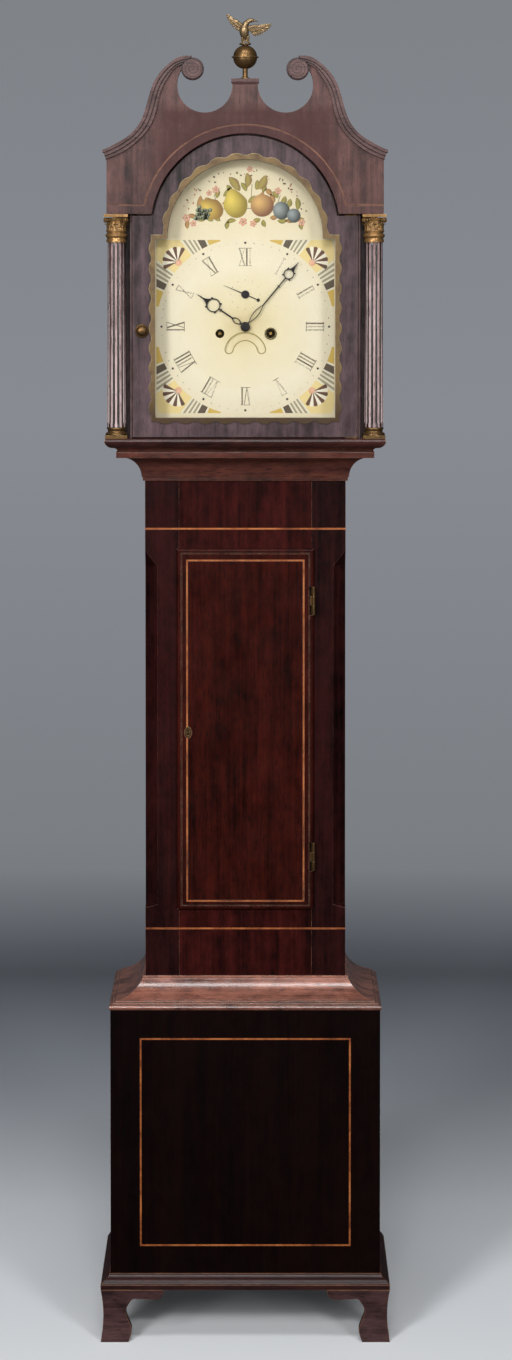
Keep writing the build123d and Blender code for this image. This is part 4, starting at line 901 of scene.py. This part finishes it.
# Gilt slip: a thin gilded strip with a scalloped edge, pinned inside the door frame. It has gone
# olive, with coppery brown patches, and its foot is brown.
gilt = old_metal(
    "gilt", (134, 110, 70), (64, 40, 30), (232, 214, 166),
    amount=0.52, scale=34.0, metallic=0.3, radius=0.0016,
)
slip_foot = spread(gilt.node_tree, axes(gilt.node_tree)["Z"], 1.70, 1.64, to_high=0.72)
paint_over(gilt, slip_foot, (50, 30, 22))
dress(["hood_door_slip"], gilt)

# Knob: turned brass on a spindle through the door's left stile, with its catch behind the door.
dress(["hood_door_knob"], old_brass)

# Dial: an iron plate painted cream, yellowed round the centre and crazed, held off the movement
# by its feet. The calendar disc behind it is painted the same.
dial_face = -0.0621
hands_z = 1.7934
dial_paint, tree, out = blank_material("dial_paint")
place = object_place(tree)
from_centre = add(
    tree,
    "ShaderNodeVectorMath",
    {0: place, 1: (0.0, -0.062, hands_z)},
    operation="DISTANCE",
).outputs["Value"]
stain = calculate(tree, "MULTIPLY", noise(tree, place, 18.0, 6.0, 0.65), 0.09)
reach_tint = ramp(
    tree,
    spread(tree, calculate(tree, "ADD", from_centre, stain), 0.03, 0.25),
    [
        (0.0, shade(210, 188, 134)),
        (0.28, shade(233, 219, 181)),
        (0.62, shade(241, 230, 205)),
        (1.0, shade(236, 222, 188)),
    ],
)
crazing = add(
    tree,
    "ShaderNodeTexVoronoi",
    {"Vector": place, "Scale": 190.0},
    feature="DISTANCE_TO_EDGE",
).outputs["Distance"]
dial_tint = mix(tree, spread(tree, crazing, 0.02, 0.0, to_high=0.22), reach_tint, shade(150, 124, 84))
paint_finish = {"Roughness": 0.45, "Coat Weight": 0.15, "Coat Roughness": 0.3}
principled(tree, out, {"Base Color": dial_tint, **paint_finish})
dress(["dial_plate", "calendar_disc"], dial_paint)

# Dial painting: thin coats of oil paint, worn through in places. There are hour numerals and
# minute dots, bands and a fan in each corner, and a garland of fruit and blossom in the arch.
painted_marks, tree, out = blank_material("painted_marks")
paint = add(tree, "ShaderNodeAttribute", attribute_name="paint").outputs
worn_paint = noise(tree, object_place(tree), 420.0, 4.0, 0.7)
kept = spread(tree, calculate(tree, "ADD", worn_paint, paint["Alpha"]), 0.72, 1.02)
mark_tint = mix(tree, kept, shade(242, 231, 206), paint["Color"])
principled(tree, out, {"Base Color": mark_tint, **paint_finish})

seconds_z = hands_z + 0.057
winding_x = 0.045
winding_z = hands_z - 0.0124
calendar_z = hands_z - 0.047
chapter_radius = 0.157
painting_half = 0.1575
painting_tall = 0.1535


def blend(one, two, part):
    """A colour part of the way from one to two."""
    part = min(max(part, 0.0), 1.0)
    return tuple(a + (b - a) * part for a, b in zip(one, two))


def painted(bm, lift, across, along, place, tint):
    """A coat of paint on the dial: place(u, v) gives x and z, and tint(u, v) its colour."""
    colours = bm.verts.layers.float_color["paint"]
    made = bmesh.ops.create_grid(bm, x_segments=across, y_segments=along, size=0.5)
    for vert in made["verts"]:
        u = vert.co.x + 0.5
        v = vert.co.y + 0.5
        x, z = place(u, v)
        vert[colours] = tint(u, v)
        vert.co = (x, dial_face - lift * 0.00004, z)
    bmesh.ops.remove_doubles(bm, verts=made["verts"], dist=1e-6)


def brush_line(bm, lift, route, wide, colour):
    """A painted line along a route of (x, z) points."""

    def place(u, v):
        at = v * (len(route) - 1)
        index = min(int(at + 1e-6), len(route) - 2)
        part = at - index
        here = Vector(route[index]).lerp(Vector(route[index + 1]), part)
        before = max(index - 1, 0) if part < 0.01 else index
        run = (Vector(route[index + 1]) - Vector(route[before])).normalized()
        return here.x - run.y * (u - 0.5) * wide, here.y + run.x * (u - 0.5) * wide

    painted(bm, lift, 1, len(route) - 1, place, lambda u, v: colour)


def turned_spot(x, z, turn, across, up):
    """The point that lies across and up from x, z, turned about it."""
    return (
        x + across * math.cos(turn) - up * math.sin(turn),
        z + across * math.sin(turn) + up * math.cos(turn),
    )


def painted_round(bm, lift, x, z, wide, tall, turn, light, dark, steps, rings, swell=0.0):
    """A round or pear shape, light toward its upper left and dark round its edge."""

    def spot(u, v):
        angle = math.tau * u
        return v * math.cos(angle), v * math.sin(angle)

    def place(u, v):
        across, up = spot(u, v)
        across *= wide * (1.0 - swell * max(0.0, up))
        return turned_spot(x, z, turn, across, up * tall)

    def tint(u, v):
        across, up = spot(u, v)
        return blend(light, dark, (math.hypot(across + 0.3, up - 0.3) - 0.15) / 1.05)

    painted(bm, lift, steps, rings, place, tint)


def painted_leaf(bm, lift, x, z, long, wide, turn, light, dark):
    """A pointed leaf with one light half, one dark half and a pale rib."""

    def place(u, v):
        half = 0.5 * wide * math.sin(math.pi * v) ** 0.8
        across = (2 * u - 1) * half + 0.08 * long * math.sin(math.pi * v)
        return turned_spot(x, z, turn, across, v * long)

    def tint(u, v):
        return blend(light, dark, 1.6 * abs(u - 0.42))

    painted(bm, lift, 4, 7, place, tint)


def new_painting():
    """An empty mesh that carries the paint's colour at its points."""
    bm = bmesh.new()
    bm.verts.layers.float_color.new("paint")
    return bm


def finish_painting(name, bm):
    """Turns every coat of paint to face out of the dial and finishes the piece."""
    for face in bm.faces:
        face.normal_update()
        if face.normal.y > 0:
            face.normal_flip()
    finish_piece(name, bm, painted_marks, "case", closed=False)


def ink(red, green, blue, hold=0.6):
    """A paint colour; hold says how much of it is left."""
    return (*shade(red, green, blue)[:3], hold)


# Numerals and dots: Roman hours in a thin brown paint, each stroke worn by its own amount, with
# dots for the minutes and the seconds, and an outline round the calendar opening.
draw = random.Random(7)
numerals = new_painting()
numeral_outer = 0.139
numeral_inner = 0.108
dot_radius = 0.1485
seconds_radius = 0.026
opening_radius = 0.0295
opening_half = 0.0072
opening_low = 12
strokes = {
    "I": [(0.0, 0.0, 0.0026)],
    "V": [(-0.0048, 0.0, 0.0026), (0.0048, 0.0, 0.0012)],
    "X": [(-0.0048, 0.0048, 0.0026), (0.0048, -0.0048, 0.0012)],
}
widths = {"I": 0.0058, "V": 0.0112, "X": 0.0112}
stroke_parts = (0.0, 0.25, 0.5, 0.75, 1.0)


def on_dial(bearing, across, radius):
    """The point at this radius on an hour's line, moved across it."""
    return (
        radius * math.sin(bearing) + across * math.cos(bearing),
        hands_z + radius * math.cos(bearing) - across * math.sin(bearing),
    )


for hour, letters in enumerate(["XII", "I", "II", "III", "IIII", "V", "VI", "VII", "VIII", "IX", "X", "XI"]):
    bearing = math.tau * hour / 12
    total = sum(widths[letter] for letter in letters)
    at = -total / 2
    for letter in letters:
        middle = at + widths[letter] / 2
        for top, bottom, wide in strokes[letter]:
            hold = draw.uniform(0.3, 0.62)
            line = []
            for part in stroke_parts:
                across = middle + top + (bottom - top) * part
                radius = numeral_outer - (numeral_outer - numeral_inner) * part
                line.append(on_dial(bearing, across, radius))
            brush_line(numerals, 1, line, wide, ink(96, 84, 62, hold))
        at += widths[letter]
    for radius in (numeral_outer, numeral_inner):
        line = [on_dial(bearing, -total / 2 + total * part, radius) for part in stroke_parts]
        brush_line(numerals, 2, line, 0.0011, ink(104, 92, 68, draw.uniform(0.35, 0.6)))
for minute in range(60):
    big = minute % 5 == 0
    size = 0.0021 if big else 0.0009
    hold = 0.75 if big else draw.uniform(0.3, 0.55)
    x, z = on_dial(math.tau * minute / 60, 0.0, dot_radius)
    if abs(z - hands_z) < painting_tall - 0.002:
        painted_round(numerals, 1, x, z, size, size, 0.0, ink(52, 40, 34, hold), ink(60, 48, 40, hold), 10, 1)
tick_ink = ink(96, 84, 62, 0.45)
for tick in range(12):
    bearing = math.tau * tick / 12
    x = seconds_radius * math.sin(bearing)
    z = seconds_z + seconds_radius * math.cos(bearing)
    painted_round(numerals, 1, x, z, 0.0008, 0.0008, 0.0, tick_ink, tick_ink, 8, 1)
outline = ink(150, 134, 66, 0.7)
for radius in (opening_radius + opening_half, opening_radius - opening_half):
    sweep = [math.radians(opening_low + (180 - 2 * opening_low) * step / 24) for step in range(25)]
    line = [(radius * math.cos(angle), calendar_z + radius * math.sin(angle)) for angle in sweep]
    brush_line(numerals, 1, line, 0.0017, outline)
for side in (-1, 1):
    base = math.radians(opening_low)
    line = []
    for step in range(13):
        angle = base - math.pi * step / 12
        x = opening_radius * math.cos(base) + opening_half * math.cos(angle)
        z = calendar_z + opening_radius * math.sin(base) + opening_half * math.sin(angle)
        line.append((side * x, z))
    brush_line(numerals, 1, line, 0.0017, outline)
finish_painting("dial_numerals", numerals)

# Corner bands and fans: stripes of gold, cream and umber that run from the hours out to the
# painting's edge, and in each corner a striped fan that opens from a pink hub.
corners = new_painting()
corner_signs = ((-1, -1), (-1, 1), (1, -1), (1, 1))
band_foot = chapter_radius + 0.0006


def corner_stripe(low, high, flip_x, flip_z, colour):
    """A stripe between two bearings of one corner."""

    def place(u, v):
        angle = math.radians(low + (high - low) * u)
        edge = min(painting_half / math.cos(angle), painting_tall / math.sin(angle))
        radius = band_foot + (edge - band_foot) * v
        return flip_x * radius * math.cos(angle), hands_z + flip_z * radius * math.sin(angle)

    steps = max(1, round(abs(high - low) / 4))
    painted(corners, 1, steps, 2, place, lambda u, v: colour)


gold = ink(216, 180, 84, 0.66)
straw = ink(240, 216, 150, 0.7)
pale = ink(236, 228, 204, 0.8)
umber = ink(94, 78, 60, 0.68)
grey = ink(168, 154, 126, 0.62)
stripes = [pale, grey, pale, grey, pale, grey, pale]
bands = (
    (13.0, 23.0, [gold]),
    (23.0, 24.2, [pale]),
    (24.2, 28.4, [umber]),
    (28.4, 37.0, stripes),
    (37.0, 53.0, [straw]),
    (53.0, 61.0, stripes),
    (61.0, 65.0, [umber]),
    (65.0, 66.2, [pale]),
    (66.2, 74.0, [gold]),
)
for start, end, colours in bands:
    for flip_x, flip_z in corner_signs:
        for index, colour in enumerate(colours):
            low = start + (end - start) * index / len(colours)
            high = start + (end - start) * (index + 1) / len(colours)
            corner_stripe(low, high, flip_x, flip_z, colour)


def fan_rib(hub_x, hub_z, low, high, colour):
    """A rib of a fan between two bearings from its hub, rounded at its end."""

    def place(u, v):
        angle = low + (high - low) * u
        radius = 0.003 + v * (0.0225 + 0.0016 * math.sin(math.pi * u))
        return hub_x + radius * math.cos(angle), hub_z + radius * math.sin(angle)

    painted(corners, 3, 3, 4, place, lambda u, v: colour)


fan_x = 0.1200
fan_z = 0.1150
fan_open = 152
rib_count = 9
hub_tints = (ink(238, 188, 158, 0.7), ink(224, 160, 126, 0.55))
for flip_x, flip_z in corner_signs:
    hub_x = flip_x * fan_x
    hub_z = hands_z + flip_z * fan_z
    facing_out = math.atan2(flip_z, flip_x)
    painted_round(corners, 2, hub_x, hub_z, 0.0085, 0.0062, facing_out, *hub_tints, 18, 4)
    for rib in range(rib_count):
        low = facing_out + math.radians(fan_open * rib / rib_count - fan_open / 2)
        high = facing_out + math.radians(fan_open * (rib + 1) / rib_count - fan_open / 2)
        colour = ink(104, 70, 48, 0.74) if rib % 2 == 0 else ink(250, 240, 218, 0.8)
        fan_rib(hub_x, hub_z, low, high, colour)
finish_painting("dial_corners", corners)

# Garland: fruit and blossom in the arch. Two pears, a round fruit, two plums and a bunch of
# small grapes lie among leaves on thin stems, with specks of paint round them.
garland = new_painting()
leaf_tints = (ink(176, 160, 74, 0.8), ink(96, 92, 44, 0.8))
rust_tints = (ink(196, 148, 84, 0.8), ink(132, 92, 56, 0.8))
stem = ink(112, 96, 58, 0.7)
branch = [(-0.108, 1.982), (-0.07, 1.998), (-0.02, 2.004), (0.03, 2.002), (0.075, 1.996), (0.106, 1.980)]
brush_line(garland, 1, branch, 0.0012, stem)
for x, z, reach in ((-0.055, 2.028, 0.03), (0.012, 2.046, 0.032), (0.062, 2.026, 0.028)):
    brush_line(garland, 1, [(x * 0.8, z - reach), (x * 0.93, z - reach / 2), (x, z)], 0.001, stem)
leaf_rows = (
    (15, -0.100, 0.100, 1.983, 0.000, 0.020, 150),
    (13, -0.086, 0.090, 2.000, 0.012, 0.024, 20),
    (9, -0.050, 0.058, 2.018, 0.016, 0.022, 0),
)
for count, low_x, high_x, low_z, rise, size, lean in leaf_rows:
    for index in range(count):
        part = index / (count - 1)
        x = low_x + (high_x - low_x) * part + draw.uniform(-0.003, 0.003)
        z = low_z + rise * math.sin(math.pi * part) + draw.uniform(-0.003, 0.003)
        outward = lean if part > 0.5 else -lean
        hanging = 180 if lean > 90 else 0
        turn = math.radians(draw.uniform(-60, 60) + outward * 0.4 + hanging)
        tints = leaf_tints if draw.random() < 0.65 else rust_tints
        painted_leaf(garland, 2, x, z, size * draw.uniform(0.7, 1.0), size * 0.42, turn, *tints)
for x, z, turn, size in ((-0.012, 2.034, 35, 0.030), (0.022, 2.036, -30, 0.030), (0.004, 2.040, 2, 0.026)):
    painted_leaf(garland, 3, x, z, size, size * 0.5, math.radians(turn), leaf_tints[0], rust_tints[1])
pear_swell = 0.42
fruits = (
    (4, -0.018, 2.012, 0.0215, 0.0265, 0.28, (232, 206, 92), (150, 128, 40), 28, 6, pear_swell),
    (5, -0.060, 2.003, 0.0180, 0.0225, 0.95, (224, 190, 84), (146, 108, 44), 28, 6, pear_swell),
    (4, 0.030, 2.008, 0.0205, 0.0200, 0.0, (222, 176, 108), (132, 84, 52), 28, 6, 0.0),
    (5, 0.064, 1.999, 0.0150, 0.0158, 0.3, (156, 164, 164), (58, 64, 60), 24, 5, 0.0),
    (6, 0.086, 1.990, 0.0120, 0.0126, 0.1, (148, 158, 160), (62, 66, 64), 24, 5, 0.0),
)
for lift, x, z, wide, tall, turn, light, dark, steps, rings, swell in fruits:
    tints = (ink(*light, 0.9), ink(*dark, 0.9))
    painted_round(garland, lift, x, z, wide, tall, turn, *tints, steps, rings, swell)
grape_tints = (ink(170, 176, 140, 0.85), ink(60, 68, 50, 0.9))
grape_count = 19
grapes_in_row = 6
for index in range(grape_count):
    row = index // grapes_in_row
    x = -0.088 + 0.0042 * (index % grapes_in_row) + draw.uniform(-0.001, 0.001) + 0.002 * row
    z = 1.986 + 0.0066 * row + draw.uniform(-0.001, 0.001)
    painted_round(garland, 6, x, z, 0.0037, 0.0037, 0.0, *grape_tints, 12, 3)
petal_tints = (ink(246, 206, 182, 0.9), ink(214, 132, 108, 0.85))
heart_tints = (ink(230, 196, 96, 0.9), ink(160, 120, 50, 0.9))
blossoms = (
    (-0.104, 1.986, 0.0062),
    (-0.092, 1.976, 0.0052),
    (-0.004, 1.979, 0.0066),
    (0.014, 1.976, 0.0056),
    (0.100, 1.978, 0.0058),
    (-0.052, 2.036, 0.0060),
    (-0.064, 2.030, 0.0048),
    (0.058, 2.034, 0.0056),
    (0.008, 2.072, 0.0050),
)
for x, z, size in blossoms:
    for petal in range(5):
        angle = math.tau * petal / 5 + x * 90
        petal_x = x + size * 0.62 * math.cos(angle)
        petal_z = z + size * 0.62 * math.sin(angle)
        painted_round(garland, 7, petal_x, petal_z, size * 0.52, size * 0.44, angle, *petal_tints, 10, 2)
    painted_round(garland, 8, x, z, size * 0.26, size * 0.26, 0.0, *heart_tints, 8, 1)
brown_specks = (ink(120, 100, 56, 0.75), ink(96, 80, 46, 0.7))
pink_specks = (ink(212, 140, 110, 0.75), ink(180, 110, 84, 0.7))
speck_count = 46
for speck in range(speck_count):
    angle = math.pi * draw.uniform(0.04, 0.96)
    x = draw.uniform(0.86, 1.0) * 0.112 * math.cos(angle)
    z = 1.984 + draw.uniform(0.84, 1.0) * 0.090 * math.sin(angle) ** 0.9
    size = draw.uniform(0.0012, 0.0024)
    tints = brown_specks if draw.random() < 0.6 else pink_specks
    painted_round(garland, 2, x, z, size, size * 0.7, draw.uniform(0, 3), *tints, 8, 1)
finish_painting("dial_garland", garland)

# Collet: a turned ring of brass, gone olive, pressed into the dial round the right winding hole.
# Its section is a list of radius and depth.
collet_brass = old_metal(
    "collet_brass", (132, 122, 84), (66, 58, 42), (178, 170, 128), amount=0.5, scale=120.0
)
collet = bmesh.new()
collet_foot = dial_face - 0.0009
rim = [(0.0082, 0.0), (0.0106, 0.0), (0.0108, -0.0010)]
rim += [(0.0100, -0.0017), (0.0088, -0.0015), (0.0082, -0.0008)]
points = [collet.verts.new((winding_x + radius, collet_foot + depth, winding_z)) for radius, depth in rim]
edges = [collet.edges.new(pair) for pair in zip(points, points[1:] + points[:1])]
bmesh.ops.spin(
    collet,
    geom=points + edges,
    cent=(winding_x, 0.0, winding_z),
    axis=(0.0, 1.0, 0.0),
    angle=math.tau,
    steps=40,
    use_merge=True,
)
finish_piece("winding_collet", collet, collet_brass, "case")

# Hands: thin steel, pierced and filed, once blued and now brown, pushed on their arbors.
dress(["minute_hand", "hour_hand", "seconds_hand"], dark_steel)

# Movement: cast brass plates, pillars and wheels with steel arbors and levers, standing on a
# deal seat board that lies across the case.
clock_brass = old_metal(
    "clock_brass", (190, 152, 88), (110, 80, 46), (232, 204, 142), amount=0.35, scale=40.0
)
dress(["movement_plates", "movement_pillars", "going_barrel", "strike_barrel"], clock_brass)
dress(["minute_wheel", "third_wheel", "centre_wheel"], clock_brass)
dress(["anchor_crutch", "bell_hammer"], dark_steel)
dress(["seat_board"], deal_across)

# Bell: cast bell metal, turned bright and gone dull, screwed to its stand over the movement.
bell_metal = old_metal(
    "bell_metal", (176, 156, 112), (96, 80, 58), (220, 204, 164), amount=0.35, scale=30.0
)
dress(["bell"], bell_metal)

# Pendulum: an iron rod with a brass-faced lens bob, hung behind the movement.
dress(["pendulum_rod"], dark_steel)
dress(["pendulum_bob"], clock_brass)

# Weights: cast iron cans, each with its pulley in a loop of gut. The tops of the lines are tied
# through the seat board.
cast_iron = old_metal(
    "cast_iron", (48, 46, 46), (62, 42, 32), (92, 88, 86), amount=0.4, scale=50.0, metallic=0.5
)
dress(["going_weight", "strike_weight"], cast_iron)
gut, tree, out = blank_material("gut")
twist = add(
    tree,
    "ShaderNodeTexWave",
    {"Vector": object_place(tree), "Scale": 380.0, "Distortion": 1.0},
    bands_direction="DIAGONAL",
)
gut_tint = ramp(tree, twist.outputs["Fac"], [(0.2, shade(126, 98, 60)), (0.8, shade(190, 160, 108))])
principled(tree, out, {"Base Color": gut_tint, "Roughness": 0.55})
dress(["line_tops"], gut)

# Gut lines: each comes down from the barrel, goes round under its weight's pulley and back up to
# the seat board.
gut_radius = 0.0009
fall_radius = 0.022
line_y = 0.006
line_top = 1.682


def gut_line(name, side, pulley_z):
    """One gut line with rings only at its ends and round the pulley, so that each fall is one long span."""
    loop_steps = 16
    stops = [(0.0, line_top, 0.0), (0.0, line_top, gut_radius)]
    for step in range(loop_steps + 1):
        stops.append((-math.pi * step / loop_steps, pulley_z, gut_radius))
    stops += [(-math.pi, line_top, gut_radius), (-math.pi, line_top, 0.0)]
    line_x = side * winding_x

    def place(u, v):
        bearing, z, radius = stops[round(v * (len(stops) - 1))]
        outward = Vector((math.cos(bearing), 0.0, math.sin(bearing)))
        turn = math.tau * u
        ring = outward * (fall_radius + radius * math.cos(turn))
        ring.y = radius * math.sin(turn)
        return Vector((line_x, line_y, z)) + ring

    line = bmesh.new()
    patch(line, 12, len(stops) - 1, place)
    piece = finish_piece(name + "_gut", line, gut, None, [name])
    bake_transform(piece)


gut_line("going_line", 1, 1.405)
gut_line("strike_line", -1, 1.372)
